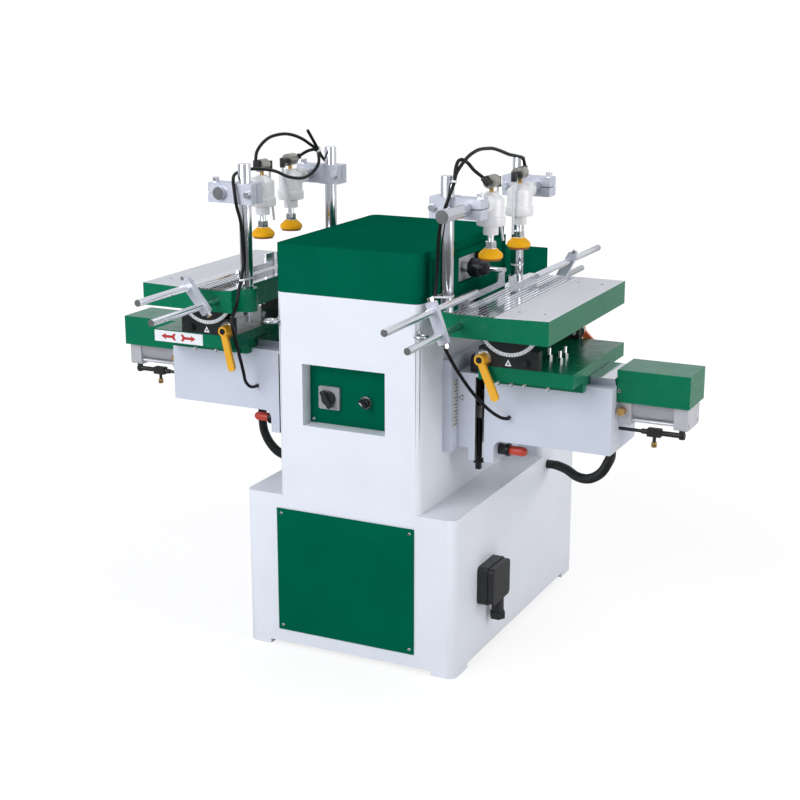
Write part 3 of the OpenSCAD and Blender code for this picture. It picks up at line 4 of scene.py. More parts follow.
import bpy
import numpy as np
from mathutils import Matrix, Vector


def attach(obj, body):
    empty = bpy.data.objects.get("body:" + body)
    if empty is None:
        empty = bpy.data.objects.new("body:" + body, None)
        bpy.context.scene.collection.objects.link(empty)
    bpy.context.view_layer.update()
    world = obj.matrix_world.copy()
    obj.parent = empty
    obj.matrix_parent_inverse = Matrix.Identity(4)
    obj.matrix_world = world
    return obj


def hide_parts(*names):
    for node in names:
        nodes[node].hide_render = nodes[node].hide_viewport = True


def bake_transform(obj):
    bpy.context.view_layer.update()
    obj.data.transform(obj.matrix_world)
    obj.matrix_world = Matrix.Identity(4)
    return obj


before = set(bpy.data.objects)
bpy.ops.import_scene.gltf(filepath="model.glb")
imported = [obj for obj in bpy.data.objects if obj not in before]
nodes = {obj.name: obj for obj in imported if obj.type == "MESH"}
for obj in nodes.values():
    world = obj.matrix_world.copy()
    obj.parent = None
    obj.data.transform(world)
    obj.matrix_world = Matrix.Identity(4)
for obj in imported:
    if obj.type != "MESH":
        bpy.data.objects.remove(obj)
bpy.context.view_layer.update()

# Sizes and places shared with the CAD source, in millimetres. Each end is described as the right-hand one:
# x from the machine's middle, v from the spindle towards the back, z from the floor.
SIDES = ("right", "left")
SPINDLE_Y = -149.0
FEED = 54.0
SIDE_X, BASE_X, BASE_H = 185.0, 277.0, 392.0
WAY_X = 207.0
ARM_Z, ARM_UNDER, ARM_V = 701.0, 545.0, -90.0
SADDLE_FRONT, SKIRT_FRONT = -180.0, -111.3
TABLE_X, TABLE_Z = 245.0, 880.0
TILT_X, TILT_Z = 369.5, 850.0
PIVOT_X, PIVOT_Z = 309.0, 764.0
STOP_X, STOP_Z = 287.0, 851.0
POST_X, POST_V, POST_R = 232.0, 211.0, 15.0
HOLD_X, VALVE_Z, VALVE_HALF = 285.0, 1149.0, 17.0
HOLD_V = {"right": (-88, 85), "left": (-43, 96)}
TUBE_D, EXHAUST_D, HOSE_D = 8.0, 6.0, 24.0


# Materials
NOISE_BAND = (0.3, 0.7)
SMOOTHEST = 0.02
COAT_ROUGH = 0.12
BUMP_DEPTH = 0.0004


def add(tree, kind, values=None, **settings):
    """A new shader node with its settings and the values of its inputs."""
    node = tree.nodes.new(kind)
    for name, value in settings.items():
        setattr(node, name, value)
    for name, value in (values or {}).items():
        node.inputs[name].default_value = value
    return node


def new_material(name):
    material = bpy.data.materials.new(name)
    material.use_nodes = True
    tree = material.node_tree
    return material, tree, tree.nodes["Principled BSDF"]


def object_coords(tree):
    return add(tree, "ShaderNodeTexCoord").outputs["Object"]


def noise(tree, scale, detail, stretch=(1, 1, 1)):
    mapping = add(tree, "ShaderNodeMapping", {"Scale": stretch})
    tree.links.new(object_coords(tree), mapping.inputs["Vector"])
    texture = add(tree, "ShaderNodeTexNoise", {"Scale": scale, "Detail": detail})
    tree.links.new(mapping.outputs["Vector"], texture.inputs["Vector"])
    return texture.outputs["Fac"]


def remap(tree, value, start, end):
    """A value scaled from one range to another and held within it."""
    scaled = add(tree, "ShaderNodeMapRange",
                 {"From Min": start[0], "From Max": start[1], "To Min": end[0], "To Max": end[1]})
    tree.links.new(value, scaled.inputs["Value"])
    return scaled.outputs["Result"]


def finish_of(name, color, rough, metal=0.0, vary=0.04, scale=9.0, stretch=(1, 1, 1), rough_vary=0.06,
              bump=0.0, bump_scale=900.0, coat=0.0, shine=0.5):
    """A finish whose tone and roughness vary a little over the surface."""
    material, tree, shader = new_material(name)
    dark = (*[c * (1 - vary) for c in color], 1)
    light = (*[min(1.0, c * (1 + vary)) for c in color], 1)
    tone = add(tree, "ShaderNodeMix", {"A": dark, "B": light}, data_type="RGBA")
    patches = noise(tree, scale, 3, stretch)
    tree.links.new(remap(tree, patches, NOISE_BAND, (0, 1)), tone.inputs["Factor"])
    tree.links.new(tone.outputs["Result"], shader.inputs["Base Color"])
    wear = noise(tree, scale * 4, 4, stretch)
    rough_band = (max(SMOOTHEST, rough - rough_vary), rough + rough_vary)
    tree.links.new(remap(tree, wear, NOISE_BAND, rough_band), shader.inputs["Roughness"])
    shader.inputs["Specular IOR Level"].default_value = shine
    shader.inputs["Metallic"].default_value = metal
    shader.inputs["Coat Weight"].default_value = coat
    shader.inputs["Coat Roughness"].default_value = COAT_ROUGH
    if bump:
        grain = add(tree, "ShaderNodeBump", {"Strength": bump, "Distance": BUMP_DEPTH})
        tree.links.new(noise(tree, bump_scale, 2, stretch), grain.inputs["Height"])
        tree.links.new(grain.outputs["Normal"], shader.inputs["Normal"])
    return material


ALONG_TABLE, ALONG_VALVE = (1, 0.05, 1), (0.03, 1, 0.03)
LOOK = {
    "white": finish_of("white_enamel", (0.77, 0.79, 0.84), 0.36, vary=0.02, bump=0.10, shine=0.4),
    # the same white enamel made darker, as painted shade on the knees and vertical ways that stand back
    # from the light
    "shaded_white": finish_of("white_enamel_painted_shade", (0.60, 0.63, 0.71), 0.40, vary=0.03, bump=0.12, shine=0.4),
    "green": finish_of("green_enamel", (0.0008, 0.160, 0.076), 0.24, vary=0.05, bump=0.03, shine=0.26),
    "hood": finish_of("green_satin", (0.0006, 0.104, 0.056), 0.55, vary=0.06, bump=0.12, shine=0.0),
    "black": finish_of("black_enamel", (0.012, 0.016, 0.016), 0.38, vary=0.15, bump=0.15),
    "yellow": finish_of("yellow_enamel", (0.88, 0.43, 0.018), 0.32, vary=0.05, bump=0.08, coat=0.3),
    "steel": finish_of("bright_steel", (0.66, 0.67, 0.69), 0.20, metal=1.0, vary=0.06, scale=40),
    "turned": finish_of("turned_steel", (0.68, 0.69, 0.72), 0.15, metal=1.0, vary=0.02, scale=14,
                        rough_vary=0.02),
    "ground": finish_of("ground_table", (0.74, 0.75, 0.77), 0.10, metal=1.0, vary=0.02, scale=60,
                        stretch=ALONG_TABLE, rough_vary=0.02),
    "planed": finish_of("planed_table", (0.66, 0.67, 0.69), 0.42, metal=0.25, vary=0.04, scale=60,
                        stretch=ALONG_TABLE, bump=0.04, bump_scale=700),
    "alloy": finish_of("cast_alloy", (0.64, 0.64, 0.67), 0.38, metal=0.4, vary=0.05, scale=50, bump=0.12),
    "dark_steel": finish_of("blackened_steel", (0.035, 0.035, 0.04), 0.34, metal=0.8, vary=0.2, scale=60),
    "satin": finish_of("satin_alloy", (0.86, 0.855, 0.86), 0.38, metal=0.1, vary=0.04, scale=50, bump=0.08),
    "nickel": finish_of("nickel", (0.40, 0.38, 0.34), 0.32, metal=0.9, vary=0.3, scale=220,
                        stretch=ALONG_VALVE),
    "barrel": finish_of("drawn_alloy", (0.44, 0.44, 0.46), 0.36, metal=0.3, vary=0.04, scale=40),
    "clamp": finish_of("clamp_alloy", (0.60, 0.62, 0.70), 0.40, metal=0.3, vary=0.05, scale=50, bump=0.12),
    "bright": finish_of("bright_bar", (0.80, 0.81, 0.84), 0.20, metal=1.0, vary=0.02, scale=14,
                        rough_vary=0.02),
    "brass": finish_of("brass", (0.72, 0.46, 0.16), 0.30, metal=1.0, vary=0.10, scale=120),
    "bronze": finish_of("sintered_bronze", (0.56, 0.34, 0.13), 0.55, metal=0.7, vary=0.2, scale=900,
                        bump=0.4),
    "plastic": finish_of("black_plastic", (0.016, 0.017, 0.018), 0.46, vary=0.15, scale=40, bump=0.15),
    "red": finish_of("red_plastic", (0.55, 0.055, 0.03), 0.36, vary=0.08, scale=40),
    "orange": finish_of("orange_plastic", (0.82, 0.20, 0.06), 0.36, vary=0.08, scale=40),
    "pad": finish_of("pad_rubber", (0.95, 0.46, 0.004), 0.46, vary=0.04, scale=60, bump=0.1, shine=0.2),
    "pad_dark": finish_of("pad_rim", (0.36, 0.12, 0.02), 0.55, vary=0.12, scale=60, bump=0.15),
    "tube": finish_of("tube_black", (0.008, 0.008, 0.009), 0.36, vary=0.2, scale=80, shine=0.2),
    "clear": finish_of("tube_white", (0.74, 0.75, 0.76), 0.30, vary=0.04, scale=80),
    "hose": finish_of("hose_rubber", (0.011, 0.013, 0.013), 0.45, vary=0.2, scale=80, bump=0.1),
    "tie": finish_of("tie_nylon", (0.80, 0.81, 0.82), 0.4, vary=0.03, scale=90),
    "plate": finish_of("plate_silver", (0.52, 0.53, 0.54), 0.36, metal=0.6, vary=0.06, scale=80),
    "print_white": finish_of("print_white", (0.82, 0.83, 0.85), 0.4, vary=0.02, scale=60),
    "print_black": finish_of("print_black", (0.02, 0.02, 0.022), 0.5, vary=0.1, scale=60),
    "print_red": finish_of("print_red", (0.48, 0.025, 0.02), 0.45, vary=0.06, scale=60),
    # painted shade for dark hollows: the lift screw's slot, the lift nut's recess and the table's tapped
    # holes
    "shade": finish_of("inner_shade", (0.15, 0.14, 0.13), 0.7, vary=0.2, scale=40),
    "rule": finish_of("ruler_plate", (0.56, 0.55, 0.51), 0.5, vary=0.04, scale=60),
}


# Pieces made from points in millimetres
SHARP_EDGE = math.radians(35)


def metres(points):
    return [tuple(float(c) * 0.001 for c in q) for q in points]


def piece(name, verts, faces, looks, body=None, smooth=True, face_looks=None):
    """A mesh with its looks; face_looks gives each face the place of its look in the list."""
    mesh = bpy.data.meshes.new(name)
    mesh.from_pydata(metres(verts), [], faces)
    mesh.validate()
    for look in looks:
        mesh.materials.append(LOOK[look])
    if face_looks is not None:
        mesh.polygons.foreach_set("material_index", face_looks)
    mesh.polygons.foreach_set("use_smooth", [smooth] * len(mesh.polygons))
    if smooth:
        mesh.set_sharp_from_angle(angle=SHARP_EDGE)
    mesh.update()
    o = bpy.data.objects.new(name, mesh)
    bpy.context.scene.collection.objects.link(o)
    if body:
        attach(o, body)
    return o


def group(name, parts, body, smooth=True):
    """One piece from several (verts, faces, look) parts."""
    verts, faces, index, looks = [], [], [], []
    for part_verts, part_faces, look in parts:
        if look not in looks:
            looks.append(look)
        faces += [tuple(i + len(verts) for i in face) for face in part_faces]
        index += [looks.index(look)] * len(part_faces)
        verts += part_verts
    return piece(name, verts, faces, looks, body, smooth, index)


def station(side, points, carried=True):
    """Points described for the right-hand end, put at either end; carried ones stand with the saddle."""
    if side == "right":
        return [(x, v + SPINDLE_Y, z) for x, v, z in points]
    back = FEED if carried else 0.0
    return [(-x - back, v + SPINDLE_Y, z) for x, v, z in points]


def local(side, c, carried=True):
    """A point of the machine in the frame of the right-hand end."""
    x = c[0] if side == "right" else -c[0] - (FEED if carried else 0.0)
    return x, c[1] - SPINDLE_Y, c[2]


def flip(side, faces):
    return faces if side == "right" else [tuple(reversed(f)) for f in faces]


def prism(outline, a, b, place):
    """An outline drawn out from a to b; place turns (u, w, depth) into a point."""
    n = len(outline)
    verts = [place(u, w, a) for u, w in outline] + [place(u, w, b) for u, w in outline]
    faces = [tuple(range(n - 1, -1, -1)), tuple(range(n, 2 * n))]
    faces += [(i, (i + 1) % n, n + (i + 1) % n, n + i) for i in range(n)]
    return verts, faces


def spline(points, steps):
    """Smooth curve through the points, the same kind that the CAD tubes follow."""
    p = [np.array(q, float) for q in points]
    out = []
    for i in range(len(p) - 1):
        a, b, c, d = p[max(i - 1, 0)], p[i], p[i + 1], p[min(i + 2, len(p) - 1)]
        for k in range(steps):
            t = k / steps
            out.append(0.5 * (2 * b + (c - a) * t + (2 * a - 5 * b + 4 * c - d) * t ** 2
                              + (3 * b - a - 3 * c + d) * t ** 3))
    out.append(p[-1])
    return np.array(out)


STEEP = 0.8


def sweep(path, radii, n=14):
    """A round tube along a path with a radius at every point."""
    p = np.array(path, float)
    heading = np.gradient(p, axis=0)
    heading /= np.linalg.norm(heading, axis=1)[:, None]
    steep = abs(heading[0][2]) > STEEP
    side = np.cross(heading[0], (1.0, 0, 0) if steep else (0, 0, 1.0))
    verts, faces = [], []
    for q, t, r in zip(p, heading, radii):
        side = side - side.dot(t) * t
        side /= np.linalg.norm(side)
        other = np.cross(t, side)
        for k in range(n):
            a = 2 * math.pi * k / n
            verts.append(tuple(q + r * (math.cos(a) * side + math.sin(a) * other)))
    for i in range(len(p) - 1):
        for k in range(n):
            j = (k + 1) % n
            faces.append((i * n + k, (i + 1) * n + k, (i + 1) * n + j, i * n + j))
    last = (len(p) - 1) * n
    faces.append(tuple(range(n)))
    faces.append(tuple(last + k for k in range(n - 1, -1, -1)))
    return verts, faces


def path_length(path):
    return float(np.linalg.norm(np.diff(np.array(path), axis=0), axis=1).sum())


# CAD nodes: looks by region, and small rounded edges
WELD = 0.00002
BEVEL_FROM = math.radians(40)


def dress(node, looks, rule=None, bevel=0.8, place=tuple, harden=False):
    """Give a CAD node its looks; the rule picks one for each face from the face's middle."""
    o = nodes[node]
    mesh = o.data
    mesh.materials.clear()
    for look in looks:
        mesh.materials.append(LOOK[look])
    index = [rule(*place(f.center * 1000)) if rule else 0 for f in mesh.polygons]
    mesh.polygons.foreach_set("material_index", index)
    weld = o.modifiers.new("weld", "WELD")
    weld.merge_threshold = WELD
    if bevel:
        edge = o.modifiers.new("edge", "BEVEL")
        edge.width = bevel * 0.001
        edge.segments = 2
        edge.limit_method = "ANGLE"
        edge.angle_limit = BEVEL_FROM
        edge.harden_normals = harden


# Where the looks meet on the nodes of the cabinet
NUT_BACK, NUT_X = SPINDLE_Y - 45.5, WAY_X + 3
PANEL_FRONT, SWITCH_X = -366.05, -20
CHUCK_X, SHAFT_X = 246, 190


def ways_rule(x, y, z):
    # the lift nut's faces get painted shade
    return 1 if y < NUT_BACK and abs(x) > NUT_X else 0


def control_rule(x, y, z):
    if y > PANEL_FRONT:
        return 0
    return 1 if x < SWITCH_X else 2


def spindle_rule(x, y, z):
    return 0 if SHAFT_X <= abs(x) <= CHUCK_X else 1


dress("cabinet", ["white"], bevel=1.6)
dress("hood", ["hood"], bevel=1.0)
dress("rear_cover", ["hood"], bevel=1.2)
dress("lower_panel", ["hood"])
# the vertical ways wear the white enamel darkened as painted shade
dress("vertical_ways", ["shaded_white", "shade"], ways_rule, bevel=1.0)
dress("fasteners", ["steel"], bevel=0.3)
dress("inlet_box", ["plastic"], bevel=1.5)
dress("swing_drive", ["steel"], bevel=0)
dress("spindle_motor", ["alloy"], bevel=0)
dress("swing_crank", ["steel"], bevel=0)
dress("power_knob", ["plastic"], bevel=0.6)
dress("selector_knob", ["plastic"], bevel=0.5)
dress("control_panel", ["hood", "plate", "steel"], control_rule, bevel=0.5)
dress("spindle", ["dark_steel", "steel"], spindle_rule, bevel=0.4)

# Where the looks meet on the nodes of each end
WAY_FOOT = ARM_Z + 0.5
SLOT_X, SLOT_V, SLOT_Z = 292, (-89.5, 86), (491, 695)
SCREW_CAP_Z = 700
LOCK_WASHER_X, LOCK_GRIP_X = 319.2, 326.6
SILENCER_V, SILENCER_Z = -47.05, 620
VALVE_LINE_Z, VALVE_SCREW_Z = 609.95, 573.5
CYLINDER_Z, BARREL_R, BARREL_X = 657, 44.5, (618, 714.5)
STOP_BOLT_V = (-100, 20)
LEVER_WASHER_V = 184.4
TABLE_SKIN = TABLE_Z - 3.2
TAPPED_X, TAPPED_V = (TABLE_X + 20, 480), 160
EAR_X, GROOVED_X = TABLE_X - 1, TABLE_X + 126
CLAMP_TOP_Z, CLAMP_SCREW_V = 1128.1, -236.1
HOLD_TOP_Z, VALVE_UNDER_Z, VALVE_EDGE = 1125.05, 1133.9, VALVE_HALF + 0.2
PAD_TOP_Z, PAD_RIM_Z = 997.2, 976.5
STOP_BAR = {"right": {"front": (-359, -20), "rear": (370, 28)},
            "left": {"front": (-321, 39), "rear": (370, 28)}}
STOP_BAR_HALF, STOP_BAR_REACH = 7.2, (-21.2, 75.2)


def knee_rule(x, v, z):
    if z > WAY_FOOT:
        return 1
    # the slot round the lift screw gets painted shade
    in_slot = SLOT_V[0] < v < SLOT_V[1] and x < SLOT_X and SLOT_Z[0] < z < SLOT_Z[1]
    return 2 if in_slot else 0


def screw_rule(x, v, z):
    return 0 if z > SCREW_CAP_Z else 1


def lock_rule(x, v, z):
    if x > LOCK_GRIP_X:
        return 2
    return 1 if x > LOCK_WASHER_X else 0


def cylinder_rule(x, v, z):
    if v < SILENCER_V and z > SILENCER_Z:
        return 1
    if z < VALVE_LINE_Z:
        return 4 if z < VALVE_SCREW_Z else 2
    on_barrel = math.hypot(v, z - CYLINDER_Z) < BARREL_R and BARREL_X[0] < x < BARREL_X[1]
    return 3 if on_barrel else 0


def bracket_rule(x, v, z):
    return 1 if STOP_BOLT_V[0] < v < STOP_BOLT_V[1] else 0


def lever_rule(x, v, z):
    return 1 if abs(v) < LEVER_WASHER_V else 0


def table_rule(x, v, z):
    # the walls of the tapped holes and the underside get painted shade
    if z < TABLE_SKIN and TAPPED_X[0] < x < TAPPED_X[1] and abs(v) < TAPPED_V:
        return 3
    if z < TABLE_SKIN or x < EAR_X:
        return 0
    return 1 if x < GROOVED_X else 2


def clamp_rule(x, v, z):
    return 1 if z > CLAMP_TOP_Z or v < CLAMP_SCREW_V else 0


def hold_rule(side):
    def rule(x, v, z):
        if z < HOLD_TOP_Z:
            return 0
        if min(abs(v - h) for h in HOLD_V[side]) > VALVE_EDGE:
            return 1
        return 2 if z > VALVE_UNDER_Z else 3
    return rule


def pad_rule(x, v, z):
    if z > PAD_TOP_Z:
        return 2
    return 1 if z < PAD_RIM_Z else 0


def stop_arm_rule(bar_v, turn):
    """The clamp bar apart from the rod and the screws; the bar leans by turn degrees from upright."""
    def rule(x, v, z):
        a = math.radians(turn)
        along = (x - STOP_X) * math.sin(a) + (z - STOP_Z) * math.cos(a)
        on_bar = abs(v - bar_v) < STOP_BAR_HALF and STOP_BAR_REACH[0] < along < STOP_BAR_REACH[1]
        return 1 if on_bar else 0
    return rule


def dress_end(side):
    """Dress all nodes of one end; their rules get points in the frame of the right-hand end."""
    def on_knee(c):
        return local(side, c, carried=False)

    def on_saddle(c):
        return local(side, c)

    def put(name, looks, rule=None, bevel=0.8, place=on_saddle, harden=False):
        dress(f"{side}_{name}", looks, rule, bevel, place, harden)

    # the knee wears the white enamel darkened as painted shade
    put("knee", ["shaded_white", "ground", "shade"], knee_rule, 1.4, on_knee)
    put("lift_screw", ["plastic", "dark_steel"], screw_rule, 0.5, on_knee)
    put("lift_lock", ["plastic", "dark_steel", "red"], lock_rule, 0.6, on_knee)
    put("cylinder_cover", ["green"], bevel=1.0)
    put("saddle", ["green"], bevel=1.2)
    put("feed_cylinder", ["alloy", "bronze", "plastic", "barrel", "brass"], cylinder_rule, place=on_knee)
    put("feed_rod", ["steel"], bevel=0)
    put("tilt_bracket", ["black", "steel"], bracket_rule)
    put("tilt_segment", ["black"])
    put("lock_lever", ["yellow", "steel"], lever_rule, 1.2)
    put("rear_lock_lever", ["orange", "steel"], lever_rule, 1.2)
    put("table", ["green", "ground", "planed", "shade"], table_rule, 0.9, harden=True)
    put("clamp_posts", ["turned"])
    put("cross_clamps", ["clamp", "bright"], clamp_rule)
    put("hold_down_cylinders", ["satin", "plastic", "nickel", "brass"], hold_rule(side), 0.6)
    for which in ("front", "rear"):
        put(which + "_pad", ["pad", "pad_dark", "steel"], pad_rule, 0.6)
        put(which + "_stop_arm", ["bright", "clamp"], stop_arm_rule(*STOP_BAR[side][which]))
        put(which + "_stop_rod", ["bright"], bevel=0.7)


for side in SIDES:
    dress_end(side)


# Air tubes, close to the routes of their CAD solids; x and z are from the table's inner top edge
RIGHT_MAIN = [
    (16, -133, 297), (13, -158, 314), (10, -183, 325), (8, -203, 323), (8, -217, 306), (8, -222, 282),
    (7, -233, 266), (3, -246, 242), (-6, -247, 215), (-16, -240, 190), (-26, -229, 150), (-29, -225, 110),
    (-31, -225, 70), (-32, -231, 30), (-31, -242, 0), (-27, -245, -35), (-17, -244, -65), (-5, -236, -90),
    (13, -216, -138), (39, -186, -195), (63, -151, -240), (81, -121, -266)]
RIGHT_ARC = [
    (40, 99, 302), (39, 75, 308), (36, 22, 318), (33, -18, 329), (30, -56, 338), (27, -86, 341),
    (24, -123, 342), (21, -155, 337), (18, -180, 328), (14, -203, 313), (10, -217, 298), (8, -222, 282)]
LEFT_MAIN = [
    (-3, 164, 288), (-7, 159, 256), (-4, 129, 234), (-1, 84, 226), (1, 19, 236), (1, -51, 258),
    (7, -131, 271), (13, -181, 270), (11, -215, 266), (1, -238, 254), (-7, -246, 228), (-11, -245, 196),
    (-15, -236, 160), (-17, -233, 110), (-19, -233, 70), (-19, -245, 30), (-18, -256, 3), (-16, -265, -29),
    (-2, -258, -58), (20, -232, -78), (36, -205, -98), (43, -186, -124), (46, -170, -154), (47, -157, -186),
    (47, -147, -212), (46, -141, -234), (45, -137.5, -250), (43, -129, -263), (41, -117, -271)]
LEFT_ARC = [
    (39, -66, 303), (35, -50, 320), (30, -25, 333), (25, 3, 338), (20, 40, 338), (14, 76, 331),
    (9, 109, 319), (4, 135, 305), (-3, 164, 288)]
LEFT_BRANCH = [(12, 134, 287), (4, 150, 290), (-3, 164, 288)]
LEFT_SPARE = [(8, 222, 254), (5, 196, 270), (-2, 164, 292), (-3, 138, 316), (0, 117, 341)]
HOLE_X, HOLE_Z, HOLE_LEAD, HOLE_DEPTH = 338.0, 606.0, 12, 6
INLET_LEN, INLET_RISE, ELBOW_LEN, ELBOW_DROP = 10.0, 14.0, 21.0, 16.0
INLET_TURN = {"right": (-45, 0), "left": (0, -60)}
EXHAUST_LEAN = {"right": ((14, 2), (0, -2)), "left": ((-8, 3), (-26, -2))}
EXHAUST_END, EXHAUST_STRAIGHT, EXHAUST_MIDDLE = 1010.0, 25, 80
PORT_LEAD, SEAT_GAP = 4.0, 0.1
CURVE_STEPS = 8
TABLE_KNOT_Z, TABLE_KNOT_Y = 845, -330
SADDLE_KNOT_Z, SADDLE_KNOT_Y = 742, -300
FAR = 1000


def on_table(route):
    return [(x + TABLE_X, v, z + TABLE_Z) for x, v, z in route]


def inlet_port(v, way, turn):
    """The end of an inlet elbow and a point straight out of it."""
    a = math.radians(turn)
    reach = INLET_RISE + SEAT_GAP
    return [(HOLD_X + d * math.sin(a), v + way * (VALVE_HALF + INLET_LEN), VALVE_Z + d * math.cos(a))
            for d in (reach, reach + PORT_LEAD)]


def led_path(side, points):
    """A smooth path with a straight first length out of its port."""
    p = np.array(station(side, points))
    return np.concatenate([p[:1], spline(p[1:], CURVE_STEPS)])


def knot_at(path, z, front_y):
    """The number of the path's point nearest the height z, among those in front of front_y."""
    return int(np.argmin(np.abs(path[:, 2] - z) + FAR * (path[:, 1] > front_y)))


def tube_piece(name, path, d, look, body, into=None):
    verts, faces = sweep(path, [d / 2] * len(path))
    o = piece(name, verts, faces, [look], None if into else body)
    if into:
        metres(path[:1])[0]
        metres(path[-1:])[0]
        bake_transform(o)
    return o


def main_tube(side, main):
    """The tube from the hold-downs to the arm: on the table, from table to saddle, from saddle to knee."""
    knot = knot_at(main, TABLE_KNOT_Z, TABLE_KNOT_Y)
    low = knot_at(main, SADDLE_KNOT_Z, SADDLE_KNOT_Y)
    table, saddle, knee = side + "_table", side + "_saddle", side + "_knee"
    stretches = [("upper", main[:knot + 1], table, None), ("drop", main[knot:low + 1], table, saddle),
                 ("lead", main[low:], saddle, knee)]
    made = []
    for part, path, body, into in stretches:
        o = tube_piece(f"{side}_air_tube_{part}", path, TUBE_D, "tube", body, into)
        metres(path[:1])[0]
        path_length(path) * 0.001
        metres(path)
        made.append(o)
    return made


def exhaust_tube(side, i, v, way):
    """A clear tube that hangs from a hold-down's exhaust elbow."""
    top = VALVE_Z - ELBOW_DROP - SEAT_GAP
    out = v - way * (VALVE_HALF + ELBOW_LEN)
    lean_x, lean_v = EXHAUST_LEAN[side][i]
    path = led_path(side, [
        (HOLD_X, out, top), (HOLD_X, out, top - PORT_LEAD), (HOLD_X, out, top - EXHAUST_STRAIGHT),
        (HOLD_X + lean_x / 2, out + lean_v / 2, top - EXHAUST_MIDDLE),
        (HOLD_X + lean_x, out + lean_v, EXHAUST_END)])
    o = tube_piece(f"{side}_exhaust_tube_{i}", path, EXHAUST_D, "clear", side + "_table")
    metres(path[:1])[0]
    path_length(path) * 0.001
    metres(path)
    return o


def air_tubes(side):
    """All tubes of one end; returns the main tube's path."""
    front_v, rear_v = HOLD_V[side]
    knee_x = HOLE_X - (0 if side == "right" else FEED)
    port = [(knee_x, ARM_V - HOLE_LEAD, HOLE_Z), (knee_x, ARM_V + HOLE_DEPTH, HOLE_Z)]
    front_port = inlet_port(front_v, -1, INLET_TURN[side][0])
    rear_port = inlet_port(rear_v, 1, INLET_TURN[side][1])
    if side == "right":
        main = led_path(side, front_port + on_table(RIGHT_MAIN) + port)
        others = {"arc": led_path(side, rear_port + on_table(RIGHT_ARC))}
    else:
        main = spline(station(side, on_table(LEFT_MAIN) + port), CURVE_STEPS)
        others = {"arc": led_path(side, front_port + on_table(LEFT_ARC)),
                  "branch": led_path(side, rear_port + on_table(LEFT_BRANCH)),
                  "spare": spline(station(side, on_table(LEFT_SPARE)), CURVE_STEPS)}
    made = main_tube(side, main)
    for part, path in others.items():
        o = tube_piece(f"{side}_air_tube_{part}", path, TUBE_D, "tube", side + "_table")
        metres(path[:1])[0]
        path_length(path) * 0.001
        metres(path)
        made.append(o)
    for i, (v, way) in enumerate(((front_v, -1), (rear_v, 1))):
        made.append(exhaust_tube(side, i, v, way))
    for o in made:
        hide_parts(side + "_air_tubes")
    return main


MAIN_PATH = {side: air_tubes(side) for side in SIDES}

# Ribbed hoses from the cabinet to the arms; x is from the hose's start and z from the base's top
RIGHT_HOSE = [(0, 338, -28), (26, 338, -28), (70, 292, -20), (130, 205, -6), (190, 120, 22), (240, 55, 62),
              (270, 15, 104)]
LEFT_HOSE = [(0, -38, 20), (26, -38, 20), (62, -37, 20), (97, -35, 21), (131, -31, 28), (159, -25, 47),
             (178, -19, 73), (185.5, -14, 100)]
HOSE = {"right": (BASE_X, RIGHT_HOSE, 558.0, 0.0), "left": (SIDE_X, LEFT_HOSE, SIDE_X + 187, -11.0)}
RIB_PITCH, RIB_DEPTH, PLAIN_DEPTH = 5.0, 2.0, 0.6
RIB_POINTS, HOSE_STEPS, HOSE_SIDES = 4, 12, 20


def even_path(path, step):
    """The path in equal steps, and how far along it each point is."""
    along = np.concatenate([[0], np.cumsum(np.linalg.norm(np.diff(path, axis=0), axis=1))])
    count = max(2, int(round(along[-1] / step)))
    want = np.linspace(0, along[-1], count + 1)
    return np.array([[np.interp(w, along, path[:, k]) for k in range(3)] for w in want]), want


def ribbed_hose(side):
    start, route, end_x, end_v = HOSE[side]
    points = [(x + start, v, z + BASE_H) for x, v, z in route]
    points += [(end_x, end_v, ARM_UNDER - HOSE_D - 2), (end_x, end_v, ARM_UNDER)]
    curve = spline(station(side, points, carried=False), HOSE_STEPS)
    path, along = even_path(curve, RIB_PITCH / RIB_POINTS)
    wave = 0.5 - 0.5 * np.cos(2 * math.pi * along / RIB_PITCH)
    plain = np.minimum(along, along[-1] - along) < HOSE_D
    radii = np.where(plain, HOSE_D / 2 - PLAIN_DEPTH, HOSE_D / 2 - RIB_DEPTH + RIB_DEPTH * wave)
    verts, faces = sweep(path, radii, HOSE_SIDES)
    o = piece(f"{side}_ribbed_hose", verts, faces, ["hose"], None)
    metres(path[:1])[0]
    metres(path[-1:])[0]
    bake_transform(o)
    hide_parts(side + "_hose")
    metres(path[:1])[0]
    path_length(path) * 0.001
    metres(path[::RIB_POINTS])


for side in SIDES:
    ribbed_hose(side)


# Flat outlines for the small pieces seen in the photograph
QUAD = ((-1, -1), (1, -1), (1, 1), (-1, 1))


def to_front(x, z, depth):
    return x, depth, z


def to_side(y, z, depth):
    return depth, y, z


def front_plate(side, outline, v, thick, carried=True):
    """A flat piece on a face that looks to the front, drawn in x and z of the right-hand end."""
    verts, faces = prism(outline, v, v - thick, to_front)
    return station(side, verts, carried), flip(side, [tuple(reversed(f)) for f in faces])


def side_plate(outline, x, thick):
    """A flat piece on a face that looks to the right, drawn in y and z."""
    return prism(outline, x, x + thick, to_side)


def rect(x0, x1, z0, z1):
    return [(x0, z0), (x1, z0), (x1, z1), (x0, z1)]


def disc(x, z, r, n=24, turn=0.0):
    angles = [math.radians(360 * k / n + turn) for k in range(n)]
    return [(x + r * math.cos(a), z + r * math.sin(a)) for a in angles]


def hexagon(x, z, r, turn):
    return disc(x, z, r, 6, turn)


def ring_strip(cx, cz, r0, r1, a0, a1, n):
    """A strip along an arc below its centre, with angles from straight down."""
    angles = [math.radians(a0 + (a1 - a0) * k / n) for k in range(n + 1)]
    outer = [(cx + r1 * math.sin(a), cz - r1 * math.cos(a)) for a in angles]
    inner = [(cx + r0 * math.sin(a), cz - r0 * math.cos(a)) for a in reversed(angles)]
    return outer + inner


